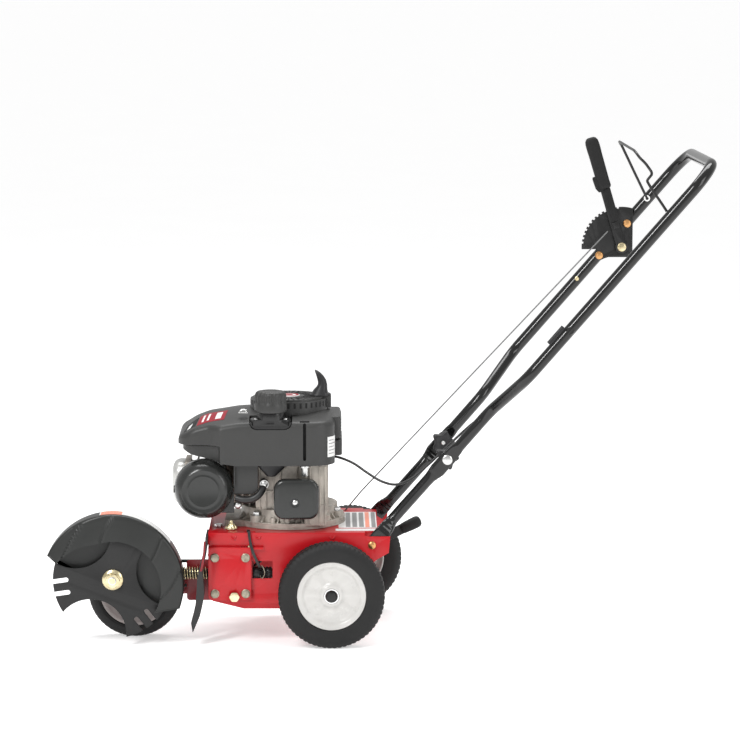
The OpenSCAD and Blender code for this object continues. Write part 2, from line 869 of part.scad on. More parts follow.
// Wheel disc: rim ring, dished web and hub
module rim_outline(r, w, bore, hub) {
    polygon([
        [bore, 2], [hub, 2], [hub + 3, 8], [hub + 18, 16], [r - 20, 12], [r - 10, 5], [r, 4.5], [r, w - 4.5],
        [r - 4, w - 4.5], [r - 4, 16], [r - 18, 18], [hub + 18, 22], [hub + 2, 20], [hub, w - 1],
        [bore, w - 1]
    ]);
}

module front_tyre() {
    color(black) place() translate([0, front_wheel_y, 0]) turned_y(front_wheel_at)
        tyre_outline(front_wheel_d / 2, 68.1, front_wheel_w);
}

module front_rim() {
    color(steel) place() translate([0, front_wheel_y, 0]) turned_y(front_wheel_at)
        rim_outline(68, front_wheel_w, 8 + run, 16);
}

// ---- rear wheels ----

module left_tyre() {
    color(black) place() turned_y(rear_axle_at) tyre_outline(rear_wheel_d / 2, rim_r + 0.1, rear_wheel_w);
}

module left_rim() {
    color(rim_white) place() translate([0, 6, 0]) turned_y(rear_axle_at)
        rim_outline(rim_r, rear_wheel_w - 6, axle_d / 2 + run, 18);
}

module right_tyre() {
    color(black) place() translate([0, right_wheel_y, 0]) turned_y(right_wheel_at)
        tyre_outline(rear_wheel_d / 2, rim_r + 0.1, rear_wheel_w);
}

module right_rim() {
    color(rim_white) place() translate([0, right_wheel_y + rear_wheel_w, 0]) mirror([0, 1, 0])
        translate([0, 6, 0]) turned_y(right_wheel_at)
            rim_outline(rim_r, rear_wheel_w - 6, axle_d / 2 + run, 18);
}

lever_deg = 26;

// Swings about the rear axle, carries the right wheel and ends in the curb height lever
module curb_bracket() {
    color(black) place() difference() {
        union() {
            sheet_xz(330, 335) strap(rear_axle_at, right_wheel_at, 20);
            sheet_xz(330, 335) strap(rear_axle_at, rear_axle_at + 160 * [cos(lever_deg), sin(lever_deg)], 10);
            bar_y(right_wheel_at, 334, 383, axle_d / 2);
            hex_y(right_wheel_at, 381.5, 386, 11);
            bar_y(right_wheel_at, 334, 341.5, 13);
            // grip
            translate([rear_axle_at[0], 0, rear_axle_at[1]]) rotate([0, -lever_deg, 0])
                difference() {
                    box([158, 321, -11], [197, 344, 11]);
                    box([150, 322, -20], [160, 328, 20]);
                }
        }
        bar_y(rear_axle_at, 325, 340, axle_d / 2 + run);
    }
}

// ---- handle ----

upper_y = 74.5;
half_w = handle_w / 2;
grip_y0 = mid_y - half_w;
flare_run = 100;
flare_start = 122;
tube_start = 34;

module handle_plane() {
    translate([fold_at[0], 0, fold_at[1]]) rotate([0, -handle_deg, 0]) children();
}

flare_deg = atan2(upper_y - grip_y0, flare_run);
flare_r = 60;
flare_t = flare_r * tan(flare_deg / 2);

// Points round a bend in the handle plane, about centre c
function bend(c, r, a0, a1, n) =
    [for (i = [0 : n]) let (a = a0 + (a1 - a0) * i / n) [c[0] + r * cos(a), c[1] + r * sin(a), 0]];

// Centre line of the left half of the loop, from its flat tab to the crossbar
function half_loop() = concat(
    [[tube_start, upper_y, 0]],
    bend([flare_start - flare_t, upper_y - flare_r], flare_r, 90, 90 - flare_deg, 5),
    bend([flare_start + flare_run + flare_t, grip_y0 + flare_r], flare_r, 270 - flare_deg, 270, 5),
    bend([handle_reach - handle_corner_r, grip_y0 + handle_corner_r], handle_corner_r, 270, 360, 8));

bar_y0 = grip_y0 + handle_corner_r;
bar_y1 = 2 * mid_y - bar_y0;

function mirrored(route) = [for (i = [len(route) - 1 : -1 : 0]) [route[i][0], 2 * mid_y - route[i][1], route[i][2]]];

// Bent tube: an outer and an inner skin joined by a ring at each end
module tube_sweep(route, r, wall, sides) {
    n = len(route);
    skins = [for (q = [r, r - wall]) for (i = [0 : n - 1]) let (
        h = heading(route, i), v = cross(h, [0, 0, 1])
    ) for (k = [0 : sides - 1]) let (a = 360 * k / sides) route[i] + q * (cos(a) * [0, 0, 1] + sin(a) * v)];
    inner = n * sides;
    last = (n - 1) * sides;
    walls = [for (i = [0 : n - 2]) for (k = [0 : sides - 1]) for (side = [0, 1]) for (half = [0, 1]) let (
        a = i * sides + k + side * inner, b = i * sides + (k + 1) % sides + side * inner,
        t = half == 0 ? [a, a + sides, b + sides] : [a, b + sides, b]
    ) side == 0 ? t : [t[2], t[1], t[0]]];
    ends = [for (e = [0, last]) for (k = [0 : sides - 1]) let (
        a = e + k, b = e + (k + 1) % sides, q = [a, b, b + inner, a + inner]
    ) e == 0 ? q : [q[3], q[2], q[1], q[0]]];
    polyhedron(points = skins, faces = concat(walls, ends));
}

module handle_tab() {
    difference() {
        box([-38, 71.5, -12.5], [48, 77.5, 12.5]);
        translate([0, 60, 0]) rotate([-90, 0, 0]) cylinder(h = 30, r = 4.2);
    }
}

module upper_handle() {
    color(black) place() handle_plane() difference() {
        union() {
            tube_sweep(half_loop(), tube_d / 2, tube_wall, 16);
            tube_sweep(mirrored(half_loop()), tube_d / 2, tube_wall, 16);
            // straight crossbar
            difference() {
                bar_y([handle_reach, 0], bar_y0, bar_y1, tube_d / 2);
                bar_y([handle_reach, 0], bar_y0 - 1, bar_y1 + 1, tube_d / 2 - tube_wall);
            }
            handle_tab();
            far_side() handle_tab();
        }
        // holes for the quadrant bolts in the right tube
        for (s = [480.5, 565])
            translate([s, 380, 0]) rotate([-90, 0, 0]) cylinder(h = 40, r = 3.2);
    }
}

module depth_quadrant() {
    color(black) place() difference() {
        sheet_xz(388, 391.3) union() {
            translate(lever_at) difference() {
                circle(r = 80);
                translate([-100, -120]) square([200, 115]);
                translate([22, -50]) square([100, 200]);
                for (a = [96 : 6.5 : 174])
                    rotate(a) translate([77, -2]) square([10, 4]);
            }
            translate(lever_at) round_rect([-40, -21], [22, 20], 8);
            strap(lever_at, lever_at + [-43, -14.4], 12);
        }
        bar_y(lever_at, 380, 395, 4.2);
        for (s = [480.5, 565])
            bar_y(fold_at + s * [cos(handle_deg), sin(handle_deg)], 380, 395, 3.2);
    }
}

module handle_bolts() {
    color(zinc) place() {
        // carriage bolts of the two fold joints
        for (side = [0, 1])
            translate([0, side * 2 * mid_y, 0]) mirror([0, side, 0]) union() {
                bar_y(fold_at, 69.5, 71.5, 11);
                bar_y(fold_at, 68, 69.7, 8);
                bar_y(fold_at, 70, 110, 4);
            }
        // quadrant bolts through the right tube
        for (s = [480.5, 565]) {
            p = fold_at + s * [cos(handle_deg), sin(handle_deg)];
            bar_y(p, 386, 416, 3);
            hex_y(p, 384, 388, 6.5);
            hex_y(p, 413.5, 418, 6.5);
        }
        // depth lever pivot
        bar_y(lever_at, 378, 396, 4);
        hex_y(lever_at, 376, 381, 8);
        hex_y(lever_at, 391.3, 396, 8);
    }
}

module knob() {
    difference() {
        union() {
            bar_y(fold_at, 84.5, 106, 15);
            for (a = [0 : 72 : 288])
                bar_y(fold_at + 16 * [cos(a), sin(a)], 90, 106, 7);
        }
        bar_y(fold_at, 80, 112, 4 + run);
    }
}

module knob_left() {
    color(black) place() knob();
}

module knob_right() {
    color(black) place() far_side() knob();
}

lever_angle = 106.5;

module depth_lever() {
    color(black) place() difference() {
        translate([lever_at[0], 0, lever_at[1]]) rotate([0, -lever_angle, 0]) union() {
            box([0, 382, -10], [205, 387, 10]);
            bar_y([0, 0], 382, 387, 13);
            box([40, 376, -6], [52, 382, 6]);
        }
        bar_y(lever_at, 375, 390, 4 + run);
    }
}

module lever_grip() {
    color(black) place() translate([lever_at[0], 0, lever_at[1]]) rotate([0, -lever_angle, 0]) difference() {
        union() {
            box([122, 375, -13], [228, 394, 13]);
            box([128, 376, 12], [150, 392, 19]);
        }
        box([121, 381.9, -10.1], [205.2, 387.1, 10.1]);
    }
}

// Bail, as points from its left pivot round to its right one
bail_route = [
    [632, 1, 831], [604, 3, 872], [592, 5, 893], [600, 8, 904], [597, 14, 914], [580, 24, 934],
    [572, 40, 944], [571, 60, 947], [571, 330, 947], [572, 350, 944], [580, 364, 934], [632, 385, 831]
];

module bail() {
    color(black) place() union() {
        sweep(bail_route, 2.6, 8, [0.5, 0.31, 0.2]);
        bar_y(bail_at, -2, 4, 3);
        bar_y(bail_at, 382, 391, 3);
    }
}

// ---- cables, strap and flap ----

brake_points = [
    [-4, 150, 350], [18, 148, 346], [44, 140, 336], [70, 126, 320], [98, 108, 306], [126, 104, 301],
    [154, 106, 312], [186, 108, 338], [222, 112, 372], [262, 110, 410], [300, 98, 444], [330, 66, 480],
    [360, 26, 516], [390, 4, 549], [430, 0.8, 593.2], [480, 0.8, 650.6], [560, 0.8, 742.6], [600, 2, 790],
    [616, 4, 812], [622, 6, 822]
];

module brake_cable() {
    color(black) place() sweep(smooth(brake_points, 3), 2.5, 8, [0.2, 1, -0.3]);
}

module depth_cable() {
    color(steel) place() union() {
        sweep([[-139, 300, 55], [-100, 300, 88], [-40, 300, 145], [22, 300, 208], [60, 306, 253],
               [300, 339, 503], [553, 373.5, 766]], 1.4, 6, [0, 1, 0]);
    }
}

module bevel_lock_strap() {
    color(black) place() sweep(smooth([
        [-160, 71, 206], [-160, 71, 216], [-159, 66, 219.5], [-158, 60, 217], [-157, 57, 208],
        [-155, 52.5, 197], [-152.5, 49, 187], [-149, 49, 177], [-144, 52, 164], [-138, 58, 150], [-134, 66, 146]
    ], 3), 2.4, 8, [0, 1, 0]);
}

module mud_flap() {
    color(black) place() union() {
        sheet_xz(24, 58) polygon([
            [-240, 213], [-236.2, 213], [-236.2, 190], [-243, 150], [-248, 110], [-250, 80], [-256, 50],
            [-264, 28], [-268, 44], [-263, 78], [-256, 110], [-249, 150], [-241, 192]
        ]);
        box([-240, 57, 192], [-236.2, 110, 213]);
    }
}

main_frame();
side_bracket();
frame_bolts();
head_bracket();
idler_spindle();
rear_axle();
lower_handle_left();
lower_handle_right();
crankcase();
cylinder_block();
valve_cover();
muffler();
carburettor();
air_filter_base();
air_filter_cover();
engine_shroud();
fuel_tank();
recoil_housing();
breather_hose();
engine_bolts();
dipstick();
v_belt();
mud_flap();
bevel_lock_strap();
brake_cable();
depth_cable();
upper_handle();
depth_quadrant();
handle_bolts();
knob_left();
knob_right();
depth_lever();
lever_grip();
bail();
fuel_cap();
crankshaft();
engine_pulley();
flywheel();
starter_grip();
starter_rope();
bevel_shaft();
bevel_spring();
spindle_housing();
spindle_bearings();
blade_guard();
arbor();
blade();
blade_pulley();
blade_nut();
idler_upper();
idler_lower();
front_arm();
front_axle();
front_tyre();
front_rim();
left_tyre();
left_rim();
curb_bracket();
right_tyre();
right_rim();
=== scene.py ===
"""Looks of the walk-behind lawn edger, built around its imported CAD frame.

Every point below is in millimetres, counted like part.scad's: from the floor under the rear axle, at the
outer face of the left rear wheel. at() turns such a point into the frame's metres.
"""

import json
from math import asin, atan2, copysign, cos, degrees, exp, hypot, pi, radians, sin, tan

import bmesh
import bpy
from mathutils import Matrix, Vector


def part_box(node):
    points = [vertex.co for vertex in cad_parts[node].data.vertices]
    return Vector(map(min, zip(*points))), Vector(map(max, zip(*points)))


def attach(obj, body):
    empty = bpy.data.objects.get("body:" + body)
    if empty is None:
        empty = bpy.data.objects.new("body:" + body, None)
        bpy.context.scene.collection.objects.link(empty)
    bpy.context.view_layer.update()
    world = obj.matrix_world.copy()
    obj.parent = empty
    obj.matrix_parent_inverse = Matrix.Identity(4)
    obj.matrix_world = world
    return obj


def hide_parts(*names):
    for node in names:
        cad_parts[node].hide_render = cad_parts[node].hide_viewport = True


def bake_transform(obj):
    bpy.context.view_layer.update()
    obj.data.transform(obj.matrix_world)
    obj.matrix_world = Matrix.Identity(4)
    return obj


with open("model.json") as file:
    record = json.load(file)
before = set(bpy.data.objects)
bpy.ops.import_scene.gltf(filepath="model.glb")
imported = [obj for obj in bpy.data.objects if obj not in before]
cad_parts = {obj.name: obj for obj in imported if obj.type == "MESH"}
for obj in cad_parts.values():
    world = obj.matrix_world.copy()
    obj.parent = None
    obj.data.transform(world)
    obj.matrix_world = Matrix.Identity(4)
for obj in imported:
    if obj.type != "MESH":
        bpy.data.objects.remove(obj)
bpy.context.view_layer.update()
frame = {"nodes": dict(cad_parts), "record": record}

wheel_lo, wheel_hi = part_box("left_tyre")
ZERO = Vector(((wheel_lo.x + wheel_hi.x) / 2, wheel_lo.y, 0.0))


def at(x, y, z):
    return ZERO + Vector((x, y, z)) / 1000


# ---- materials ----

def tone(colour, k):
    return tuple(min(c * k, 1.0) for c in colour[:3]) + (1.0,)


def finish(name, colour, rough, metal=0.0, coat=0.0, spread=0.12, patch=14.0, grain=900.0, bump=0.05,
           depth=0.0004, second=None, rough_spread=0.08, spec=0.5):
    """A surface with cloudy tone, uneven gloss and a fine grain, all worked out from object coordinates."""
    mat = bpy.data.materials.new(name)
    mat.use_nodes = True
    nodes, links = mat.node_tree.nodes, mat.node_tree.links
    shader = nodes["Principled BSDF"]
    coords = nodes.new("ShaderNodeTexCoord")
    mapping = nodes.new("ShaderNodeMapping")
    links.new(coords.outputs["Object"], mapping.inputs["Vector"])

    cloud = nodes.new("ShaderNodeTexNoise")
    cloud.inputs["Scale"].default_value = patch
    cloud.inputs["Detail"].default_value = 6.0
    cloud.inputs["Roughness"].default_value = 0.62
    links.new(mapping.outputs["Vector"], cloud.inputs["Vector"])
    ramp = nodes.new("ShaderNodeValToRGB")
    ramp.color_ramp.elements[0].position = 0.32
    ramp.color_ramp.elements[0].color = tone(colour, 1 - spread)
    ramp.color_ramp.elements[1].position = 0.68
    ramp.color_ramp.elements[1].color = tone(second or colour, 1 + spread)
    links.new(cloud.outputs["Fac"], ramp.inputs["Fac"])
    links.new(ramp.outputs["Color"], shader.inputs["Base Color"])

    fine = nodes.new("ShaderNodeTexNoise")
    fine.inputs["Scale"].default_value = grain
    fine.inputs["Detail"].default_value = 3.0
    links.new(mapping.outputs["Vector"], fine.inputs["Vector"])
    gloss = nodes.new("ShaderNodeMapRange")
    gloss.inputs["To Min"].default_value = max(rough - rough_spread, 0.02)
    gloss.inputs["To Max"].default_value = min(rough + rough_spread, 1.0)
    links.new(cloud.outputs["Fac"], gloss.inputs["Value"])
    links.new(gloss.outputs["Result"], shader.inputs["Roughness"])
    relief = nodes.new("ShaderNodeBump")
    relief.inputs["Strength"].default_value = bump
    relief.inputs["Distance"].default_value = depth
    links.new(fine.outputs["Fac"], relief.inputs["Height"])
    links.new(relief.outputs["Normal"], shader.inputs["Normal"])

    shader.inputs["Metallic"].default_value = metal
    shader.inputs["Coat Weight"].default_value = coat
    shader.inputs["Coat Roughness"].default_value = 0.08
    shader.inputs["Specular IOR Level"].default_value = spec
    return mat


LOOKS = {
    "red_paint": dict(colour=(0.47, 0.006, 0.011), rough=0.33, coat=0.12, spec=0.35, spread=0.07,
        patch=9, bump=0.06, grain=420, depth=0.0003),
    # dark_red_paint is the red paint darkened: the darkening is painted shade, for red parts that sit in
    # shadow such as the blade arm
    "dark_red_paint": dict(colour=(0.20, 0.009, 0.014), rough=0.36, coat=0.1, spec=0.4, spread=0.14,
        patch=16, bump=0.08, grain=420),
    "black_tube": dict(colour=(0.006, 0.006, 0.006), rough=0.13, rough_spread=0.03, spread=0.10,
        patch=18, bump=0.05, grain=500, depth=0.0002),
    "black_steel": dict(colour=(0.008, 0.008, 0.008), rough=0.36, spec=0.4, spread=0.15, patch=26,
        bump=0.10, grain=900),
    "cast_alloy": dict(colour=(0.35, 0.32, 0.28), rough=0.44, metal=0.3, spread=0.16, patch=34,
        bump=0.35, grain=1300, depth=0.0005, second=(0.46, 0.42, 0.37)),
    "cover_alloy": dict(colour=(0.62, 0.62, 0.60), rough=0.34, metal=0.7, spread=0.10, patch=24,
        bump=0.15, grain=1100),
    "muffler_steel": dict(colour=(0.017, 0.018, 0.017), rough=0.24, spec=0.5, spread=0.14, patch=20,
        bump=0.10, grain=900),
    "shroud_plastic": dict(colour=(0.034, 0.034, 0.033), rough=0.42, spec=0.4, spread=0.06, patch=14,
        bump=0.16, grain=1500, depth=0.0003),
    "dark_plastic": dict(colour=(0.014, 0.014, 0.015), rough=0.42, spec=0.4, spread=0.10, patch=22,
        bump=0.15, grain=1400, depth=0.0003),
    "guard_plastic": dict(colour=(0.021, 0.022, 0.021), rough=0.34, spec=0.35, spread=0.10, patch=12,
        bump=0.14, grain=1300, depth=0.0003),
    "tank_plastic": dict(colour=(0.007, 0.007, 0.007), rough=0.24, spec=0.45, spread=0.10, patch=24,
        bump=0.08, grain=900),
    "grip_rubber": dict(colour=(0.007, 0.007, 0.007), rough=0.55, spec=0.3, spread=0.12, patch=40,
        bump=0.5, grain=1900, depth=0.0006),
    "flap_rubber": dict(colour=(0.018, 0.018, 0.018), rough=0.62, spread=0.14, patch=30, bump=0.25,
        grain=1200),
    "hose_rubber": dict(colour=(0.014, 0.014, 0.014), rough=0.40, spread=0.12, patch=30, bump=0.12,
        grain=1200),
    "belt_rubber": dict(colour=(0.012, 0.012, 0.013), rough=0.68, spread=0.15, patch=40, bump=0.4,
        grain=1600),
    "tyre_rubber": dict(colour=(0.011, 0.011, 0.011), rough=0.56, spec=0.3, spread=0.16, patch=26,
        bump=0.30, grain=1100, depth=0.0006),
    "rim_plastic": dict(colour=(0.54, 0.53, 0.51), rough=0.28, coat=0.3, spread=0.04, patch=16,
        bump=0.05, grain=700),
    # grey_rim is the light rim plastic darkened to a tan-grey: the darkening is painted shade, as the front
    # rim sits in shadow behind the blade
    "grey_rim": dict(colour=(0.34, 0.30, 0.29), rough=0.46, spread=0.08, patch=20, bump=0.1, grain=900),
    "zinc": dict(colour=(0.66, 0.55, 0.30), rough=0.25, metal=1.0, spread=0.16, patch=60, bump=0.12,
        grain=1500, second=(0.70, 0.62, 0.42)),
    "steel": dict(colour=(0.62, 0.62, 0.61), rough=0.28, metal=1.0, spread=0.10, patch=40, bump=0.12,
        grain=900),
    "bare_steel": dict(colour=(0.25, 0.23, 0.17), rough=0.36, metal=0.85, spread=0.20, patch=90,
        bump=0.2, grain=1400, second=(0.42, 0.38, 0.30)),
    "blade_steel": dict(colour=(0.018, 0.018, 0.018), rough=0.42, spec=0.3, spread=0.10, patch=20,
        bump=0.10, grain=700),
    "cable_sheath": dict(colour=(0.012, 0.012, 0.012), rough=0.38, spread=0.1, patch=40, bump=0.08,
        grain=1200),
    "cable_wire": dict(colour=(0.16, 0.16, 0.16), rough=0.42, metal=0.6, spread=0.1, patch=60, bump=0.3,
        grain=2600),
    "rope_cord": dict(colour=(0.62, 0.60, 0.55), rough=0.8, spread=0.12, patch=80, bump=0.6,
        grain=2200),
}
MATS = {name: finish(name, **look) for name, look in LOOKS.items()}
# trims that the record has no slot for
WHITE = finish("white_vinyl", (0.78, 0.78, 0.77), 0.35, coat=0.2, spread=0.03, patch=30, bump=0.04)
ORANGE = finish("orange_vinyl", (0.82, 0.23, 0.13), 0.35, coat=0.2, spread=0.05, patch=30, bump=0.04)
DECAL_RED = finish("red_vinyl", (0.26, 0.004, 0.016), 0.42, spec=0.2, spread=0.05, patch=30, bump=0.04)
DECAL_GREY = finish("grey_vinyl", (0.20, 0.20, 0.20), 0.40, coat=0.1, spread=0.06, patch=30, bump=0.04)
CHROME = finish("chrome_ring", (0.72, 0.72, 0.72), 0.12, metal=1.0, spread=0.05, patch=40, bump=0.05)
# near-black used both as painted shade in holes, slots and vents and as the nose decal's own black print
SHADOW = finish("shade_and_decal_black", (0.004, 0.004, 0.004), 0.8, spread=0.1, patch=30, bump=0.1)
BRONZE = finish("bronze_head", (0.66, 0.36, 0.15), 0.32, metal=1.0, spread=0.12, patch=60, bump=0.1,
    grain=1500)

for slot_of in frame["record"]["subparts"]:
    node = frame["nodes"][slot_of["node"]]
    node.data.materials.clear()
    node.data.materials.append(MATS[slot_of["material_slot"]])


def soften(node, width, angle=35, segments=2):
    """Rounds the edges of a CAD node that is shown as it is."""
    obj = frame["nodes"][node]
    weld = obj.modifiers.new("weld", "WELD")
    weld.merge_threshold = 0.00001
    flat = obj.modifiers.new("flat", "DECIMATE")
    flat.decimate_type = "DISSOLVE"
    flat.angle_limit = radians(0.6)
    edge = obj.modifiers.new("edge", "BEVEL")
    edge.width = width / 1000
    edge.segments = segments
    edge.limit_method = "ANGLE"
    edge.angle_limit = radians(angle)
    edge.harden_normals = True
    edge.use_clamp_overlap = True
    for p in obj.data.polygons:
        p.use_smooth = True


# ---- mesh building ----

class Shape:
    """Collects closed solids, point by point, and makes them one object."""

    def __init__(self):
        self.points = []
        self.faces = []

    def add(self, points, faces):
        n = len(self.points)
        self.points += [Vector(p) for p in points]
        self.faces += [[n + i for i in f] for f in faces]
        return self

    def rings(self, rings, closed=False, caps=True):
        """Skins a list of rings that have equal numbers of points."""
        n, m = len(rings), len(rings[0])
        points = [p for ring in rings for p in ring]
        last = n if closed else n - 1
        faces = [[i * m + k, i * m + (k + 1) % m, ((i + 1) % n) * m + (k + 1) % m, ((i + 1) % n) * m + k]
                 for i in range(last) for k in range(m)]
        if caps and not closed:
            faces.append(list(range(m))[::-1])
            faces.append([(n - 1) * m + k for k in range(m)])
        return self.add(points, faces)

    def lathe(self, profile, centre, axis="y", steps=64, wave=None):
        """Turns a closed outline of (radius, position) about an axis through centre."""
        cx, cy, cz = centre
        rings = []
        for k in range(steps):
            a = radians(360 * k / steps)
            ring = []
            for i, (r, t) in enumerate(profile):
                if wave:
                    r, t = wave(i, a, r, t)
                if axis == "y":
                    ring.append((cx + r * cos(a), cy + t, cz + r * sin(a)))
                elif axis == "z":
                    ring.append((cx + r * cos(a), cy + r * sin(a), cz + t))
                else:
                    ring.append((cx + t, cy + r * cos(a), cz + r * sin(a)))
            rings.append(ring)
        return self.rings(rings, closed=True, caps=False)

    def rod(self, r, lo, hi, centre, axis="y", steps=24, core=0.3):
        """A round bar, open only by a hair along its middle."""
        return self.lathe([(core, lo), (r, lo), (r, hi), (core, hi)], centre, axis, steps)

    def prism(self, outline, lo, hi, plane="xz"):
        """Pushes a flat outline from lo to hi."""
        def spot(u, v, w):
            return {"xz": (u, w, v), "xy": (u, v, w), "yz": (w, u, v)}[plane]
        return self.rings([[spot(u, v, w) for u, v in outline] for w in (lo, hi)])

    def block(self, lo, hi):
        return self.prism([(lo[0], lo[1]), (hi[0], lo[1]), (hi[0], hi[1]), (lo[0], hi[1])], lo[2],
            hi[2], "xy")

    def tube(self, route, radius, sides=16, closed=False):
        """Sweeps a circle along a route."""
        route = [Vector(p) for p in route]
        n = len(route)
        normal = None
        rings = []
        for i, p in enumerate(route):
            before = route[(i - 1) % n] if closed or i else route[0]
            after = route[(i + 1) % n] if closed or i < n - 1 else route[-1]
            ahead = (after - before).normalized()
            if normal is None:
                normal = ahead.orthogonal().normalized()
            normal = (normal - ahead * normal.dot(ahead)).normalized()
            side = ahead.cross(normal)
            rings.append([p + radius * (cos(a) * normal + sin(a) * side)
                          for a in (2 * pi * k / sides for k in range(sides))])
        return self.rings(rings, closed=closed)

    def mirror(self, middle):
        """Adds the same shape on the other side of the plane y = middle."""
        n = len(self.points)
        self.points += [Vector((p.x, 2 * middle - p.y, p.z)) for p in self.points[:n]]
        self.faces += [[n + i for i in reversed(f)] for f in self.faces[:]]
        return self

    def link(self, name):
        """Turns the collected solids into an object of the scene."""
        mesh = bpy.data.meshes.new(name)
        mesh.from_pydata([at(*p) for p in self.points], [], self.faces)
        work = bmesh.new()
        work.from_mesh(mesh)
        bmesh.ops.remove_doubles(work, verts=work.verts, dist=0.000005)
        bmesh.ops.recalc_face_normals(work, faces=work.faces)
        work.to_mesh(mesh)
        work.free()
        obj = bpy.data.objects.new(name, mesh)
        bpy.context.scene.collection.objects.link(obj)
        return obj

    def flip(self, middle):
        """Moves the shape to the other side of the plane y = middle."""
        self.points = [Vector((p.x, 2 * middle - p.y, p.z)) for p in self.points]
        self.faces = [f[::-1] for f in self.faces]
        return self

    def make(self, name, mat, body, slot=None, replaces=(), bevel=0.0, angle=35, segments=2, cut=None):
        obj = self.link(name)
        mesh = obj.data
        mesh.materials.append(MATS[mat] if isinstance(mat, str) else mat)
        for p in mesh.polygons:
            p.use_smooth = True
        for tool in cut or ():
            hole = obj.modifiers.new("hole", "BOOLEAN")
            hole.object = tool
            hole.solver = "EXACT"
        if cut:
            bake(obj)
            for tool in cut:
                bpy.data.objects.remove(tool)
        if bevel:
            edge = obj.modifiers.new("edge", "BEVEL")
            edge.width = bevel / 1000
            edge.segments = segments
            edge.limit_method = "ANGLE"
            edge.angle_limit = radians(angle)
            edge.harden_normals = True
        else:
            obj.data.set_sharp_from_angle(angle=radians(angle))
        if body:
            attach(obj, body)
        if replaces:
            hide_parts(*replaces)
        return obj

    def tool(self):
        """A cutter for make's cut list."""
        return self.link("cutter")


def bake(obj):
    """Replaces an object's mesh with the result of its modifiers."""
    bpy.context.view_layer.update()
    graph = bpy.context.evaluated_depsgraph_get()
    mesh = bpy.data.meshes.new_from_object(obj.evaluated_get(graph))
    obj.modifiers.clear()
    obj.data = mesh
    for p in mesh.polygons:
        p.use_smooth = True


def smooth(points, n):
    """One smooth curve through given points (Catmull-Rom), n steps to a span."""
    p = [Vector(q) for q in points]
    out = []
    for i in range(len(p) - 1):
        a, b, c, d = p[max(i - 1, 0)], p[i], p[i + 1], p[min(i + 2, len(p) - 1)]
        for k in range(n):
            t = k / n
            out.append(0.5 * (2 * b + (c - a) * t + (2 * a - 5 * b + 4 * c - d) * t * t
                              + (3 * b - a - 3 * c + d) * t * t * t))
    return out + [p[-1]]


def circle(cx, cy, r, n=32):
    return [(cx + r * cos(2 * pi * k / n), cy + r * sin(2 * pi * k / n))
            for k in range(n)]


def round_box(x0, y0, x1, y1, r, n=6):
    """Outline of a rounded rectangle."""
    out = []
    for cx, cy, a0 in ((x1 - r, y1 - r, 0), (x0 + r, y1 - r, 90), (x0 + r, y0 + r, 180),
            (x1 - r, y0 + r, 270)):
        for k in range(n + 1):
            a = radians(a0 + 90 * k / n)
            out.append((cx + r * cos(a), cy + r * sin(a)))
    return out


def ease(t):
    t = min(max(t, 0.0), 1.0)
    return t * t * (3 - 2 * t)


# ---- fasteners ----

def hexagon(r, a):
    """Distance from the middle to the edge of a hexagon with corners at r, at angle a."""
    return r * cos(pi / 6) / cos((a % (pi / 3)) - pi / 6)


def bolt_head(shape, x, z, face, out, r, washer=0.0, height=5.5):
    """Hexagon head with a crowned top and a flange, standing from face towards out (-1 or 1) along Y."""
    def y(t):
        return face + out * t
    if washer:
        shape.lathe([(0.5, y(0)), (washer, y(0)), (washer, y(1.0)), (washer * 0.86, y(1.9)),
            (0.5, y(1.9))], (x, 0, z), "y", 36)
    rings = []
    for t, k in ((0.4, 1.0), (height - 1.2, 1.0), (height - 0.3, 0.93), (height, 0.80)):
        ring = []
        for i in range(36):
            a = 2 * pi * i / 36
            q = min(hexagon(r, a), r * k)
            ring.append((x + q * cos(a), y(t), z + q * sin(a)))
        rings.append(ring)
    shape.rings(rings)
    return shape


def dome_head(shape, x, z, face, out, r, height=3.0):
    """Carriage bolt head."""
    steps = 8
    outline = [(r * cos(pi / 2 * k / steps) + 0.01, face + out * height * sin(pi / 2 * k / steps))
               for k in range(steps + 1)]
    shape.lathe([(0.01, face)] + outline, (x, 0, z), "y", 40)
    return shape


# ---- shared sizes, as in part.scad ----

MID = 194.5
REAR = (0, 102)
RIGHT = (39.6, 111)
FRONT = (-381, 90.5)
BLADE = (-418, 129)
GUARD = (-419, 118.5)
EAR = (77.8, 190)
FOLD = (222.2, 354)
LEVER = (582.4, 733.8)
PIVOT = (-186, 93)
MUFFLER = (-245, 294)
CRANK = (-82, 195)
CAP = (-116, 92)
HANDLE_DEG = 49
REACH = 752


# ---- camera, light and floor ----

LENS_MM = 147.1
EYE = (-6.43, -5640, 1290.95)
PITCH_DEG, YAW_DEG = 7.609, 0.8075


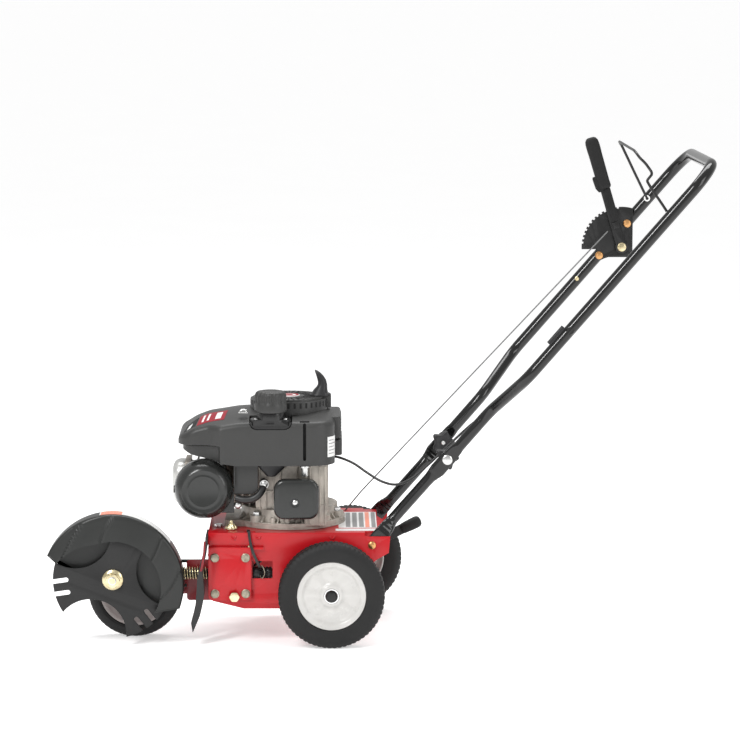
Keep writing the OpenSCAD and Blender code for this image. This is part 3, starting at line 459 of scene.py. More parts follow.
def studio():
    scene = bpy.context.scene
    scene.view_settings.view_transform = "Standard"
    scene.view_settings.look = "None"
    camera = bpy.data.cameras.new("camera")
    camera.sensor_width = 36
    camera.lens = LENS_MM
    camera.clip_end = 400
    eye = bpy.data.objects.new("camera", camera)
    eye.location = at(*EYE)
    eye.rotation_euler = (radians(90 - PITCH_DEG), 0, -radians(YAW_DEG))
    scene.collection.objects.link(eye)
    scene.camera = eye

    world = bpy.data.worlds.new("studio")
    scene.world = world
    world.use_nodes = True
    world.node_tree.nodes["Background"].inputs["Color"].default_value = (1, 1, 1, 1)
    world.node_tree.nodes["Background"].inputs["Strength"].default_value = 0.62

    def area(name, place, aim, size, power):
        light = bpy.data.lights.new(name, "AREA")
        light.shape = "RECTANGLE"
        light.size, light.size_y = size
        light.energy = power
        obj = bpy.data.objects.new(name, light)
        obj.location = place
        obj.rotation_euler = (Vector(aim) - Vector(place)).to_track_quat("-Z", "Y").to_euler()
        scene.collection.objects.link(obj)

    area("key", (-1.9, -2.6, 2.9), (0, 0, 0.3), (0.5, 1.8), 88)
    area("fill", (2.6, -2.2, 1.6), (0, 0, 0.4), (1.2, 2.0), 26)
    area("top", (0.2, 0.9, 3.2), (0.1, 0, 0.4), (3.0, 1.2), 74)

    floor = bpy.data.meshes.new("floor")
    reach = 160.0
    floor.from_pydata([(-reach, -reach, 0), (reach, -reach, 0), (reach, reach, 0), (-reach, reach, 0)],
        [], [[0, 1, 2, 3]])
    plate = bpy.data.objects.new("floor", floor)
    paper = finish("floor_paper", (0.90, 0.90, 0.90), 0.9, spread=0.01, patch=2, bump=0.02)
    glow = paper.node_tree.nodes["Principled BSDF"].inputs
    glow["Emission Color"].default_value = (1, 1, 1, 1)
    glow["Emission Strength"].default_value = 0.42
    floor.materials.append(paper)
    scene.collection.objects.link(plate)


studio()


# ---- wheels ----

def tyre(name, centre, y0, r, width, inner, lugs, body, depth):
    """Tyre with staggered shoulder lugs; the tread is worked out ring by ring."""
    per = 6
    steps = lugs * per
    half = [(inner, 5.0), (inner + 1.5, 2.2), (inner + 4, 1.6), (inner + 7, 1.2), (inner + 10, 0.8),
        (r - 17, 0.5), (r - 15, 0.5), (r - 13, 0.7), (r - 9, 1.4), (r - 6, 3.2), (r - 3.0, 5.0),
        (r - 0.8, 7.6), (r, 10.5), (r, 13.5), (r, width / 2 - 4.5), (r, width / 2 - 2.2)]
    first_lug = 8
    n = len(half)
    outline = half + [(q, width - t) for q, t in reversed(half)]

    def tread(i, a, q, t):
        j = i if i < n else 2 * n - 1 - i
        if j < first_lug:
            return q, t
        step = round(a / (2 * pi) * steps)
        side = 0 if i < n else per // 2
        groove = (step + side) % per in (0, 1)
        deep = depth * (0.5 if j < first_lug + 2 else 1.0)
        if groove:
            q -= deep
        if j == n - 1:
            q -= 1.4
        return q, t

    Shape().lathe(outline, (centre[0], y0, centre[1]), "y", steps, wave=tread).make(
        name, "tyre_rubber", body, replaces=(name,), angle=28)


tyre("left_tyre", REAR, 0, 102, 45, 66.3, 64, "left_wheel", 1.1)
tyre("right_tyre", RIGHT, 342, 102, 45, 66.3, 64, "right_wheel", 1.1)
tyre("front_tyre", FRONT, 115, 90.5, 36, 68.3, 54, "front_wheel", 0.3)


def pressed_rim(name, centre, y0, facing, body, bumps):
    """Dished disc rim: rolled edge, stepped dish with pressed bumps round the hub, barrel and hub tube."""
    front = [(16, 3.5), (19.5, 3.6), (22, 6.5), (25, 9.5), (30, 10.5), (36, 11.0), (42, 11.8),
        (47, 12.6), (50.5, 12.4), (53, 10.2), (55.5, 7.0), (58, 5.2), (61.5, 4.6), (64, 2.6),
        (65.4, 2.2), (66.2, 3.4)]
    back = [(66.2, 41.5), (64.8, 43), (63, 41.8), (63, 20), (60, 16.5), (54, 14.5), (48, 16.5), (36, 15),
            (25, 14), (19, 14), (17, 16), (17, 43), (12.4, 43), (12.4, 3.5)]
    outline = [(q, facing * t) for q, t in front + back]

    def press(i, a, q, t):
        if 3 <= i <= 8:
            fade = sin(pi * (i - 2) / 7)
            t -= facing * (3.4 * (0.5 + 0.5 * cos(bumps * a)) * fade)
        return q, t

    shape = Shape().lathe(outline, (centre[0], y0, centre[1]), "y", 160, wave=press)
    shape.make(name, "rim_plastic", body, replaces=(name,), angle=50)
    ring = Shape().lathe([(q, facing * t) for q, t in [(11.4, 9), (11.4, 2.6), (12.0, 1.8), (14.0, 1.8),
        (14.8, 2.6), (15.0, 4.4), (15.0, 9)]], (centre[0], y0, centre[1]), "y", 56)
    ring.make(name + "_bearing", CHROME, body, slot="steel", angle=30)


pressed_rim("left_rim", REAR, 3.4, 1, "left_wheel", 8)
pressed_rim("right_rim", RIGHT, 383.6, -1, "right_wheel", 8)

# the front rim takes grey_rim, whose tan-grey is painted shade on a rim as light as the rear ones
front_face = [(12, 3.5), (16, 3.5), (17.5, 6), (30, 8.5), (41, 9.5), (43, 8.0), (45, 9.6), (56, 8.5),
    (61, 5.0), (65.5, 3.6), (68.2, 4.2), (68.2, 33), (65.5, 33.5), (65.5, 17), (58, 14), (40, 14),
    (20, 13), (16.5, 15), (16.5, 34), (12, 34), (8.1, 34), (8.1, 3.5)]
Shape().lathe(front_face, (FRONT[0], 115, FRONT[1]), "y", 120).make(
    "front_rim", "grey_rim", "front_wheel", replaces=("front_rim",), angle=40)


def socket_end(name, centre, face, out, body):
    """Axle end: a dark hexagon head."""
    shape = Shape()
    rings = []
    for r, t in ((11.2, -3.6), (11.2, 2.0), (10.4, 2.9), (8.6, 3.3), (3.0, 3.5)):
        ring = []
        for k in range(48):
            a = 2 * pi * k / 48
            q = hexagon(r, a)
            ring.append((centre[0] + q * cos(a), face + out * t, centre[1] + q * sin(a)))
        rings.append(ring)
    shape.rings(rings).make(name, "black_steel", body, angle=30)


socket_end("left_axle_cap", REAR, 3.9, -1, "chassis")
socket_end("right_axle_cap", RIGHT, 383.2, 1, "curb_arm")


# ---- blade head ----

def blade_guard():
    """Conical skirt with slanted creases, deep outer band and a dished back wall."""
    creases = ((148, 116), (104, 89), (36, 44), (-14, 12))
    outer_r = 136.6
    steps = 300

    def low_end(r):
        return -degrees(asin(46.0 / r)) if r > 60 else -50.0

    # outline rows: (radius, y, share of the way from inner edge to rim or None)
    rows = [(92, 31.5, None), (92, 28.5, 0.0)]
    rows += [(92 + 40 * k / 10, 28.5 + 5.2 * (k / 10) ** 1.2, k / 10) for k in range(1, 11)]
    rows += [(134.8, 34.9, None), (136.2, 36.8, None), (outer_r, 39.8, None), (outer_r, 52, None),
        (outer_r, 66, None), (outer_r, 79, None), (135.8, 82.6, None), (133, 84, None), (131, 84, None),
        (130, 82, None), (130, 64, None), (127, 62.5, None), (96, 62.5, None), (60, 62.5, None),
        (31, 62.5, None), (31, 59.5, None), (60, 59.5, None), (96, 59.5, None), (126, 59.5, None),
        (132.8, 56, None), (132.8, 40.5, None), (130, 37.4, None)]
    shape = Shape()
    rings = []
    for k in range(steps + 1):
        ring = []
        for r, y, share in rows:
            a0 = low_end(r)
            a1 = 155.0 + (13 * ease((128 - r) / 20) if y > 59 and share is None else 0)
            a = a0 + (a1 - a0) * k / steps
            cx, cz = GUARD
            narrow = 0.6 * max(0.0, a - 112)
            if r <= 92.01:
                cx, cz = cx + 1.5, cz - 6
                r += narrow if r > 91 else 0
            elif share is not None:
                r += narrow * (1 - share)
                cx, cz = cx + 1.5 * (1 - share), cz - 6 * (1 - share)
            if share is not None:
                for inner, outer in creases:
                    line = inner + (outer - inner) * share
                    off = (a - line) * pi / 180 * r
                    y -= 2.6 * exp(-(off / 2.4) ** 2)
                    y += 2.4 * (ease(off / 6 + 0.5) - 0.5) * exp(-(off / 20) ** 2)
                y -= 1.6 * (1 - ease(min(a - a0, a1 - a) * pi / 180 * r / 3))
            q = radians(a)
            ring.append((cx + r * cos(q), y, cz + r * sin(q)))
        rings.append(ring)
    shape.rings(rings)
    shape.make("blade_guard", "guard_plastic", "head", replaces=("blade_guard",), angle=40)


blade_guard()


def band_label(name, a0, a1, y0, y1, mat):
    """Vinyl strip on the guard's band."""
    rings = []
    for k in range(49):
        q = radians(a0 + (a1 - a0) * k / 48)
        rings.append([(GUARD[0] + r * cos(q), y, GUARD[1] + r * sin(q))
                      for r, y in ((136.5, y0), (136.95, y0), (136.95, y1), (136.5, y1))])
    Shape().rings(rings).make(name, mat, "head", slot="guard_plastic", angle=30)


band_label("guard_label", 36, 100, 46, 76, WHITE)
band_label("guard_label_mark", 82, 99, 44, 78, ORANGE)

nut = Shape().lathe([(8.1, 38.2), (20, 38.2), (20.2, 37.0), (19.2, 35.8), (15.5, 34.0), (14.2, 33.4),
    (8.1, 33.4)], (BLADE[0], 0, BLADE[1]), "y", 56)
bolt_head(nut, BLADE[0], BLADE[1], 34.2, -1, 14.2, height=8.2)
nut.make("blade_nut", "zinc", "rotor", replaces=("blade_nut",), angle=30)
stud = Shape().lathe([(0.3, 23.8), (5.6, 23.8), (7.3, 25), (7.3, 27), (0.3, 27)],
    (BLADE[0], 0, BLADE[1]), "y", 40)
stud.make("arbor_end", "zinc", "rotor", angle=30)

turns, wire, coil = 9, 1.5, 11.2
helix = [(-284 + 46 * i / (24 * turns), 76 + coil * cos(pi * i / 12), 134 + coil * sin(pi * i / 12))
         for i in range(24 * turns + 1)]
Shape().tube(helix, wire, 12).make("bevel_spring", "zinc", "head", replaces=("bevel_spring",), angle=60)

for name, width in (("blade", 0.5), ("spindle_housing", 1.2), ("bevel_shaft", 0.6),
        ("blade_pulley", 0.4), ("arbor", 0.5), ("head_bracket", 0.7), ("front_arm", 0.7),
        ("front_axle", 0.6), ("main_frame", 1.4), ("side_bracket", 0.9), ("rear_axle", 0.4),
        ("crankcase", 2.2), ("cylinder_block", 0.8), ("carburettor", 1.5), ("air_filter_base", 1.0),
        ("fuel_tank", 1.6), ("recoil_housing", 1.0), ("depth_quadrant", 0.5), ("depth_lever", 0.8),
        ("dipstick", 0.6), ("engine_pulley", 0.4), ("flywheel", 0.6), ("idler_upper", 0.4),
        ("idler_lower", 0.4), ("idler_spindle", 0.4), ("crankshaft", 0.5)):
    soften(name, width)

# knurled end of the bevel shaft in the side window
knurl = Shape()
for row in range(6):
    for k in range(14):
        a = 2 * pi * (k + 0.5 * (row % 2)) / 14
        x = -149 + row * 6.2
        y, z = 76 + 9.6 * cos(a), 134 + 9.6 * sin(a)
        knurl.tube([(x - 2.4, y, z), (x, 76 + 11.4 * cos(a), 134 + 11.4 * sin(a)), (x + 2.4, y, z)],
            1.5, 6)
knurl.make("bevel_knurl", "black_steel", "head", angle=30)

pivot_head = bolt_head(Shape(), PIVOT[0], PIVOT[1], 49.2, -1, 10.2, washer=0, height=6.2)
pivot_head.make("pivot_head", "zinc", "wheel_arm", angle=30)


def straps(a, b, r, n=20):
    """Outline round two equal circles."""
    turn = atan2(b[1] - a[1], b[0] - a[0])
    return [(c[0] + r * cos(turn + start + pi * k / n), c[1] + r * sin(turn + start + pi * k / n))
            for c, start in ((b, -pi / 2), (a, pi / 2)) for k in range(n + 1)]


CURB_DEG = 26
curb_dir = Vector((cos(radians(CURB_DEG)), 0, sin(radians(CURB_DEG))))
curb_up = Vector((-curb_dir.z, 0, curb_dir.x))
curb = Shape().prism(straps(REAR, RIGHT, 20), 330, 335)
curb.prism(straps(REAR, (164 * curb_dir.x, 102 + 164 * curb_dir.z), 10), 330, 335)
curb.rod(8, 334, 382, (RIGHT[0], 0, RIGHT[1]), "y", 32)
curb.rod(13, 334, 341.5, (RIGHT[0], 0, RIGHT[1]), "y", 32)
curb.make("curb_bracket", "black_steel", "curb_arm", replaces=("curb_bracket",), bevel=0.6, angle=40)

# ---- deck trim ----

bolts = Shape()
for x in (-223.5, -164.5):
    for z in (98, 168):
        bolt_head(bolts, x, z, 53, -1, 7.6, washer=8.6, height=5.0)
        bolts.rod(4.0, 53, 71, (x, 0, z), "y", 24)
        bolt_head(bolts, x, z, 65.2, 1, 7.5, height=5.0)
bolts.make("bracket_bolts", "bare_steel", "chassis", replaces=("frame_bolts",), angle=30)
ear = Shape()
dome_head(ear, EAR[0], EAR[1], 62, -1, 8.0, 4.0)
ear.mirror(MID).make("ear_bolts", BRONZE, "chassis", slot="zinc", angle=30)
nuts = Shape().rod(4.0, 62.5, 77, (EAR[0], 0, EAR[1]), "y", 24)
bolt_head(nuts, EAR[0], EAR[1], 71.3, 1, 7.5, height=5.0)
nuts.mirror(MID).make("ear_nuts", "black_steel", "chassis", angle=30)

dimples = Shape()
for x in (-187, -140, 1.6):
    dimples.tube(smooth([(x - 5, 62.6, 209), (x - 2.5, 61.2, 204.5), (x, 60.9, 203.4),
        (x + 2.5, 61.2, 204.5), (x + 5, 62.6, 209)], 4), 1.5, 8)
dimples.make("deck_lugs", "red_paint", "chassis", angle=60)

# four dark discs on the ledge: painted shade standing for the shadow inside its holes
ledge = Shape()
for k in range(4):
    ledge.rod(1.9, 188.0, 188.5, (-172 + 5.5 * k, 57.5, 0), "z", 16, core=0.2)
ledge.make("ledge_hole_shade", SHADOW, "chassis", slot="black_steel")
pin = Shape().lathe([(0.2, 188), (2.4, 188), (2.4, 190.4), (1.2, 191.6), (0.2, 191.6)], (-158, 57.5, 0),
    "z", 20)
pin.make("ledge_pin", "zinc", "chassis")

# plain label panels on the deck's rear corner
label = Shape().prism(round_box(14, 110, 88, 280, 3), 215.1, 215.45, "xy")
label.prism(round_box(8, 79, 88, 101, 3), 215.1, 215.45, "xy")
label.make("deck_label", WHITE, "chassis", slot="red_paint", angle=30)
band = Shape().prism(round_box(66, 114, 74, 276, 1.5), 215.3, 215.7, "xy")
band.make("deck_label_band", ORANGE, "chassis", slot="red_paint", angle=30)
bars = Shape().prism(round_box(78, 114, 86, 276, 1.5), 215.3, 215.7, "xy")
for k in range(3):
    bars.prism(round_box(28 + 13 * k, 118, 37 + 13 * k, 272, 0.6), 215.3, 215.7, "xy")
bars.make("deck_label_blocks", DECAL_GREY, "chassis", slot="red_paint", angle=30)


def ribbon(route, width, thick):
    """Flat strap along a route; width lies across the route's own plane."""
    shape = Shape()
    rings = []
    pts = [Vector(p) for p in route]
    for i, p in enumerate(pts):
        ahead = (pts[min(i + 1, len(pts) - 1)] - pts[max(i - 1, 0)]).normalized()
        side = Vector((1, 0, 0))
        side = (side - ahead * side.dot(ahead)).normalized()
        up = ahead.cross(side)
        rings.append([p + side * u * width / 2 + up * v * thick / 2 for u,
            v in ((-1, -1), (1, -1), (1, 1), (-1, 1))])
    return shape.rings(rings)


strap = ribbon(smooth([(-160, 71, 206), (-160, 71, 216), (-159, 66, 219.5), (-158, 60, 217),
    (-157, 57, 208), (-155, 52.5, 197), (-152.5, 49, 187), (-149, 49, 177), (-144, 52, 164),
    (-138, 58, 150), (-134, 66, 146)], 5), 5.5, 1.8)
strap.make("bevel_lock_strap", "cable_sheath", "chassis", replaces=("bevel_lock_strap",), bevel=0.5)
clip = Shape().tube(smooth([(-134, 60, 152), (-130, 57, 146), (-128, 57, 137), (-131, 58, 129),
    (-135, 61, 127), (-137, 66, 131)], 5), 0.9, 8)
clip.make("lock_pin", "bare_steel", "chassis")


# ---- lower and upper handle ----

def section(centre, across, along, half_w, half_t, power, n=28):
    """One ring of a tube that is being pressed flat; power 2 is an ellipse, larger is squarer."""
    ring = []
    for k in range(n):
        a = 2 * pi * k / n
        c, s = cos(a), sin(a)
        u = copysign(abs(c) ** (2 / power), c) * half_w
        v = copysign(abs(s) ** (2 / power), s) * half_t
        ring.append(centre + across * u + along * v)
    return ring


Y_AXIS = Vector((0, 1, 0))


curb_grip = Shape().rings([section(Vector((REAR[0], 332.5, REAR[1])) + curb_dir * s, curb_up, Y_AXIS, w,
    h, 3) for s, w, h in ((155, 6, 7), (156.5, 8.5, 9.5), (160, 10.4, 11.2), (178, 11.4, 12),
    (190, 11.6, 12), (195, 10.4, 11), (198.4, 7.4, 8.4), (199.6, 3, 4))])
curb_grip.make("curb_grip", "grip_rubber", "curb_arm", slot="black_steel", angle=50)


def lower_handle(side):
    d = Vector((FOLD[0] - EAR[0], 0, FOLD[1] - EAR[1]))
    length = d.length
    d.normalize()
    across = Vector((-d.z, 0, d.x))
    start = Vector((EAR[0], 0, EAR[1]))

    def ring(s, y, w, h, p):
        return section(start + d * s + Y_AXIS * y, across, Y_AXIS, w, h, p)

    stops = [(-16, 68, 10, 2.9, 5), (-14, 68, 13, 3, 6), (-8, 68, 15, 3, 6), (30, 68, 15, 3, 6),
        (38, 70, 14.6, 3.6, 5), (46, 76, 13.6, 6, 3.4), (54, 83, 12, 9, 2.4), (61, 88, 11.1, 10.8, 2),
        (67, 89.5, 11, 11, 2), (length - 58, 89.5, 11, 11, 2), (length - 50, 89, 11.2, 10.6, 2),
        (length - 42, 86.4, 12.4, 8, 2.6), (length - 34, 83, 14, 4.6, 4),
        (length - 28, 81.1, 15, 3.1, 6), (length + 8, 81, 15, 3, 6), (length + 15, 81, 12, 3, 6),
        (length + 18, 81, 8, 2.8, 5)]
    rings = []
    for i in range(len(stops) - 1):
        a, b = stops[i], stops[i + 1]
        for k in range(4):
            t = k / 4
            s, y, w, h, p = (a[j] + (b[j] - a[j]) * (t if j == 0 else ease(t)) for j in range(5))
            rings.append(ring(s, y, w, h, p))
    rings.append(ring(*stops[-1]))
    shape = Shape().rings(rings)
    if side == "right":
        shape.flip(MID)
    name = "lower_handle_" + side
    shape.make(name, "black_tube", "chassis", replaces=(name,), angle=50)


lower_handle("left")
lower_handle("right")

TUBE_R = 11.0
UPPER_Y = 74.5
GRIP_Y = MID - 208
FLARE_RUN, FLARE_START, FLARE_R, CORNER_R = 100, 122, 60, 62
TUBE_START = 34
flare = atan2(UPPER_Y - GRIP_Y, FLARE_RUN)
flare_t = FLARE_R * tan(flare / 2)
along = Vector((cos(radians(HANDLE_DEG)), 0, sin(radians(HANDLE_DEG))))
upward = Vector((-along.z, 0, along.x))


def on_handle(s, y, h=0.0):
    """Point s up the handle plane, at y across it and h above it."""
    return Vector((FOLD[0], 0, FOLD[1])) + along * s + Y_AXIS * y + upward * h


def arc(cx, cy, r, a0, a1, n):
    return [(cx + r * cos(radians(a0 + (a1 - a0) * i / n)),
             cy + r * sin(radians(a0 + (a1 - a0) * i / n))) for i in range(n + 1)]


def upper_handle():
    bend = degrees(flare)
    half = [(TUBE_START, UPPER_Y)]
    half += arc(FLARE_START - flare_t, UPPER_Y - FLARE_R, FLARE_R, 90, 90 - bend, 12)
    half += arc(FLARE_START + FLARE_RUN + flare_t, GRIP_Y + FLARE_R, FLARE_R, 270 - bend, 270, 12)
    half += arc(REACH - CORNER_R, GRIP_Y + CORNER_R, CORNER_R, 270, 360, 20)
    path = half + [(s, 2 * MID - y) for s, y in reversed(half)]
    loop = Shape()
    points = [on_handle(s, y) for s, y in path]
    n = len(points)
    rings = []
    # pressed flat tab, then the round tube
    tab = ((-38, 8, 2.6, 5), (-36, 10.8, 3, 6), (-31, 12.5, 3, 6), (14, 12.5, 3, 6), (20, 12.4, 4.2, 4),
           (26, 12.0, 6.6, 3), (31, 11.4, 9, 2.3))
    for s, w, h, p in tab:
        rings.append(section(on_handle(s, UPPER_Y), upward, Y_AXIS, w, h, p))
    for i, p in enumerate(points):
        ahead = (points[min(i + 1, n - 1)] - points[max(i - 1, 0)]).normalized()
        if i in (0, n - 1):
            ahead = along if i == 0 else -along
        rings.append(section(p, upward, ahead.cross(upward) * -1, TUBE_R, TUBE_R, 2))
    for s, w, h, p in reversed(tab):
        rings.append(section(on_handle(s, 2 * MID - UPPER_Y), upward, -Y_AXIS, w, h, p))
    loop.rings(rings)
    loop.make("upper_handle", "black_tube", "handle", replaces=("upper_handle",), angle=50)
    # cable clip and its black button on the left tube, and a small pin on the right one
    clip = Shape().rings([[on_handle(s, y, h) for y, h in round_box(-20, 8, -8, 17.5, 3)]
        for s in (299, 341)])
    clip.make("cable_clip", "dark_plastic", "handle", bevel=1.0)
    button = Shape()
    spot = on_handle(344, GRIP_Y)
    button.lathe([(0.2, -19), (8.2, -19), (8.2, -22.6), (7.0, -24.2), (0.2, -24.3)],
        (spot.x, 0, spot.z), "y", 40)
    button.make("clip_button", "tank_plastic", "handle", slot="dark_plastic", angle=40)
    pin = Shape()
    spot = on_handle(416, 2 * MID - GRIP_Y, 2)
    dome_head(pin, spot.x, spot.z, 392.2, -1, 4.6, 3)
    pin.make("tube_pin", "zinc", "handle", angle=40)


upper_handle()


def handle_bolts():
    fold = Shape()
    dome_head(fold, FOLD[0], FOLD[1], 71.4, -1, 10, 3.0)
    fold.lathe([(0.3, 70), (3.9, 70), (3.9, 109), (3.0, 110), (0.3, 110)], (FOLD[0], 0, FOLD[1]), "y", 24)
    fold.mirror(MID).make("fold_bolts", "steel", "handle", angle=30)
    shape = Shape()
    c, s = cos(radians(HANDLE_DEG)), sin(radians(HANDLE_DEG))
    for up in (480.5, 565):
        x, z = FOLD[0] + up * c, FOLD[1] + up * s
        bolt_head(shape, x, z, 388, -1, 6.8, washer=7.8, height=5.0)
        shape.rod(3, 384, 416, (x, 0, z), "y", 20)
        bolt_head(shape, x, z, 413.5, 1, 6.8, washer=8.2, height=4.5)
    shape.make("handle_bolts", BRONZE, "handle", slot="zinc", replaces=("handle_bolts",), angle=30)
    pivot = bolt_head(Shape(), LEVER[0], LEVER[1], 382, -1, 7.6, washer=8.8, height=5.6)
    pivot.rod(3.9, 378, 395.8, (LEVER[0], 0, LEVER[1]), "y", 20)
    bolt_head(pivot, LEVER[0], LEVER[1], 391.4, 1, 8, height=4.6)
    pivot.make("lever_pivot", "zinc", "handle", angle=30)


handle_bolts()


def star_knob(side):
    shape = Shape()
    n = 120
    rings = []
    for y, k in ((84.6, 0.44), (88.5, 0.46), (89.4, 0.84), (90.6, 0.96), (92.4, 1.0), (102.5, 1.0),
            (104.8, 0.95), (106, 0.84), (106.2, 0.5), (104.6, 0.42), (104.6, 0.18)):
        ring = []
        for i in range(n):
            a = 2 * pi * i / n
            star = 19.4 + 3.6 * cos(5 * a) + 0.5 * cos(10 * a)
            r = (star if k > 0.6 else 23) * k
            ring.append((FOLD[0] + r * cos(a), y, FOLD[1] + r * sin(a)))
        rings.append(ring)
    shape.rings(rings)
    if side == "right":
        shape.flip(MID)
    name = "knob_" + side
    shape.make(name, "dark_plastic", side + "_knob", replaces=(name,), angle=50)


star_knob("left")
star_knob("right")

LEVER_DEG = 106.5


def on_lever(s, y, h):
    """Point s up the depth lever, at y, and h across it."""
    a = radians(LEVER_DEG)
    return Vector((LEVER[0] + s * cos(a) - h * sin(a), y, LEVER[1] + s * sin(a) + h * cos(a)))


def lever_grip():
    middle = Vector((384.5, 0, 0))

    def ring(s, w, h):
        return [on_lever(s, q.x, q.y) for q in section(middle, Y_AXIS, Vector((1, 0, 0)), w, h, 3.6, 36)]

    rings = []
    spots = [(122, 10.5, 7), (123.2, 12, 8.6), (126, 13.2, 9.6), (200, 13.8, 10), (214, 13.8, 10),
        (221, 12.8, 9.6), (225.6, 10, 8), (227.6, 6.5, 5.4), (228, 2.5, 2)]
    for i in range(len(spots) - 1):
        a, b = spots[i], spots[i + 1]
        steps = 14 if b[0] - a[0] > 40 else 2
        for k in range(steps):
            t = k / steps
            s, w, h = (a[j] + (b[j] - a[j]) * t for j in range(3))
            ridge = 0.35 if (130 < s < 200 and round(s / 2.6) % 2) else 0.0
            rings.append(ring(s, w - ridge, h - ridge))
    rings.append(ring(*spots[-1]))
    shape = Shape().rings(rings)
    # stop lug under the grip
    lug = [(118, 4), (150, 6), (150, 17.5), (146, 19), (126, 18), (118, 14)]
    shape.rings([[on_lever(s, y, h) for s, h in lug] for y in (377.5, 391.5)])
    shape.make("lever_grip", "grip_rubber", "lever", replaces=("lever_grip",), bevel=1.2, angle=40)


lever_grip()

bail_points = [(632, 1, 831), (618, 2, 852), (604, 3, 872), (595, 4, 886), (592, 5, 893), (596, 6, 899),
    (600, 8, 904), (600, 11, 909), (597, 14, 914), (589, 19, 925), (580, 24, 934), (575, 32, 941),
    (572, 44, 945.5), (571, 60, 947), (571, 130, 947), (571, 195, 947), (571, 260, 947),
    (571, 330, 947), (572, 344, 945.5), (575, 356, 941), (580, 364, 934), (606, 374.5, 882),
    (632, 385, 831)]
bail = Shape().tube(smooth(bail_points, 4), 2.6, 14)
for y0, y1 in ((-2, 4), (382, 391)):
    bail.rod(3, y0, y1, (632, 0, 831), "y", 20, core=0.2)
bail.make("bail", "black_steel", "bail_bar", replaces=("bail",), angle=50)
for name, y, side in (("left", 0.5, 1), ("right", 386, -1)):
    ferrule = Shape().lathe([(3.1, y - 3), (5.6, y - 3), (6.2, y - 1.6), (6.2, y + 1.6), (5.6, y + 3),
        (3.1, y + 3)], (632, 0, 831), "y", 28)
    ferrule.make("bail_bush_" + name, WHITE, "bail_bar", slot="steel", angle=40)

# ---- cables ----

brake_points = [(-4, 150, 350), (18, 148, 346), (44, 140, 336), (70, 126, 320), (98, 108, 306),
    (126, 104, 301), (154, 106, 312), (186, 108, 338), (222, 112, 372), (262, 110, 410), (300, 98, 444),
    (330, 66, 480), (360, 26, 516), (390, 4, 549), (430, 0.8, 593.2), (480, 0.8, 650.6),
    (560, 0.8, 742.6), (600, 2, 790), (616, 4, 812), (622, 6, 822)]
brake = Shape().tube(smooth(brake_points, 8), 2.5, 14)
brake = brake.make("brake_cable", "cable_sheath", None, replaces=("brake_cable",), angle=60)
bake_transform(brake)

wire = Shape().tube([(-139, 300, 55), (-100, 300, 88), (-40, 300, 145), (22, 300, 208)], 1.4, 10)
wire.tube([(22, 300, 208), (60, 306, 253), (150, 318.4, 347), (225, 328.7, 425), (300, 339, 503),
    (553, 373.5, 766)], 1.4, 10)
wire = wire.make("depth_cable", "cable_wire", None, replaces=("depth_cable",), angle=60)
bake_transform(wire)

# ---- mud flap and its red side strip ----

flap_front = [(-240, 213), (-241, 195), (-246, 175), (-252, 155), (-256, 134), (-257.5, 110), (-260, 82),
              (-265, 60), (-268.5, 47), (-265.7, 29)]
flap_back = [(-236.3, 213), (-236.5, 195), (-239.5, 175), (-245, 155), (-246, 140), (-243.6, 118),
    (-243.6, 97), (-247, 78), (-251, 62), (-264.8, 29)]
flap = Shape()
for front, back in zip(zip(flap_front, flap_front[1:]), zip(flap_back, flap_back[1:])):
    flap.prism([front[0], front[1], back[1], back[0]], 24, 58)
flap.block((-240, 57, 192), (-236.3, 110, 213))
flap.make("mud_flap", "flap_rubber", "chassis", replaces=("mud_flap",), angle=40)
strip = Shape().prism([(-243, 206), (-239.5, 206), (-240.5, 184), (-243.5, 160), (-247, 148),
    (-251, 148), (-248, 162), (-244.5, 184)], 21, 23.4)
strip.make("flap_strip", "dark_red_paint", "chassis", bevel=0.4)


# ---- engine shroud ----

def between(points, x):
    """Straight interpolation in a short list of (x, value)."""
    if x <= points[0][0]:
        return points[0][1]
    for (x0, v0), (x1, v1) in zip(points, points[1:]):
        if x <= x1:
            return v0 + (v1 - v0) * (x - x0) / (x1 - x0)
    return points[-1][1]


def curve(points, x):
    """The same, but rounded off: the mean over a window of 16 mm."""
    return sum(between(points, x + 2 * k) for k in range(-4, 5)) / 9


LOW = [(-297, 370), (-275, 361), (-213, 346.5), (-182, 342), (8, 342)]
TOP = [(-297, 392), (-294, 397), (-279, 404), (-265, 417), (-252, 423.5), (-239, 429), (-203, 434.7),
    (-180, 438.5), (-150, 440), (-20, 440), (-5, 437), (7, 431)]
CROWN = 16.0
SHROUD_MID = 195


def top_z(x, y):
    """Height of the shroud's crowned top."""
    crown = CROWN * ease((x + 300) / 60)
    return curve(TOP, x) - crown * ((y - SHROUD_MID) / 120) ** 2


def shroud_half():
    """Plan of the shroud's left half, from the middle of its nose to the middle of its back."""
    pts = [(-295, 195 - 65 * k / 6) for k in range(6)]
    pts += [(-260 + 35 * cos(a), 130 + 35 * sin(a)) for a in
            (radians(180 + 90 * k / 10) for k in range(11))]
    pts += [(-250, 94.7), (-240, 93.5)]
    pts += [(-240 + 30 * t, 93.5 - 18.5 * ease(t)) for t in (k / 10 for k in range(1, 11))]
    pts += [(-210 + 171 * k / 24, 75) for k in range(1, 25)]
    pts += [(-39 + 46 * cos(a), 121 + 46 * sin(a)) for a in
            (radians(270 + 90 * k / 12) for k in range(1, 13))]
    pts += [(7, 121 + 74 * k / 6) for k in range(1, 7)]
    out = []
    n = len(pts)
    for i, (x, y) in enumerate(pts):
        ax, ay = pts[max(i - 1, 0)]
        bx, by = pts[min(i + 1, n - 1)]
        tx, ty = bx - ax, by - ay
        size = hypot(tx, ty)
        out.append((x, y, ty / size, -tx / size))
    return out


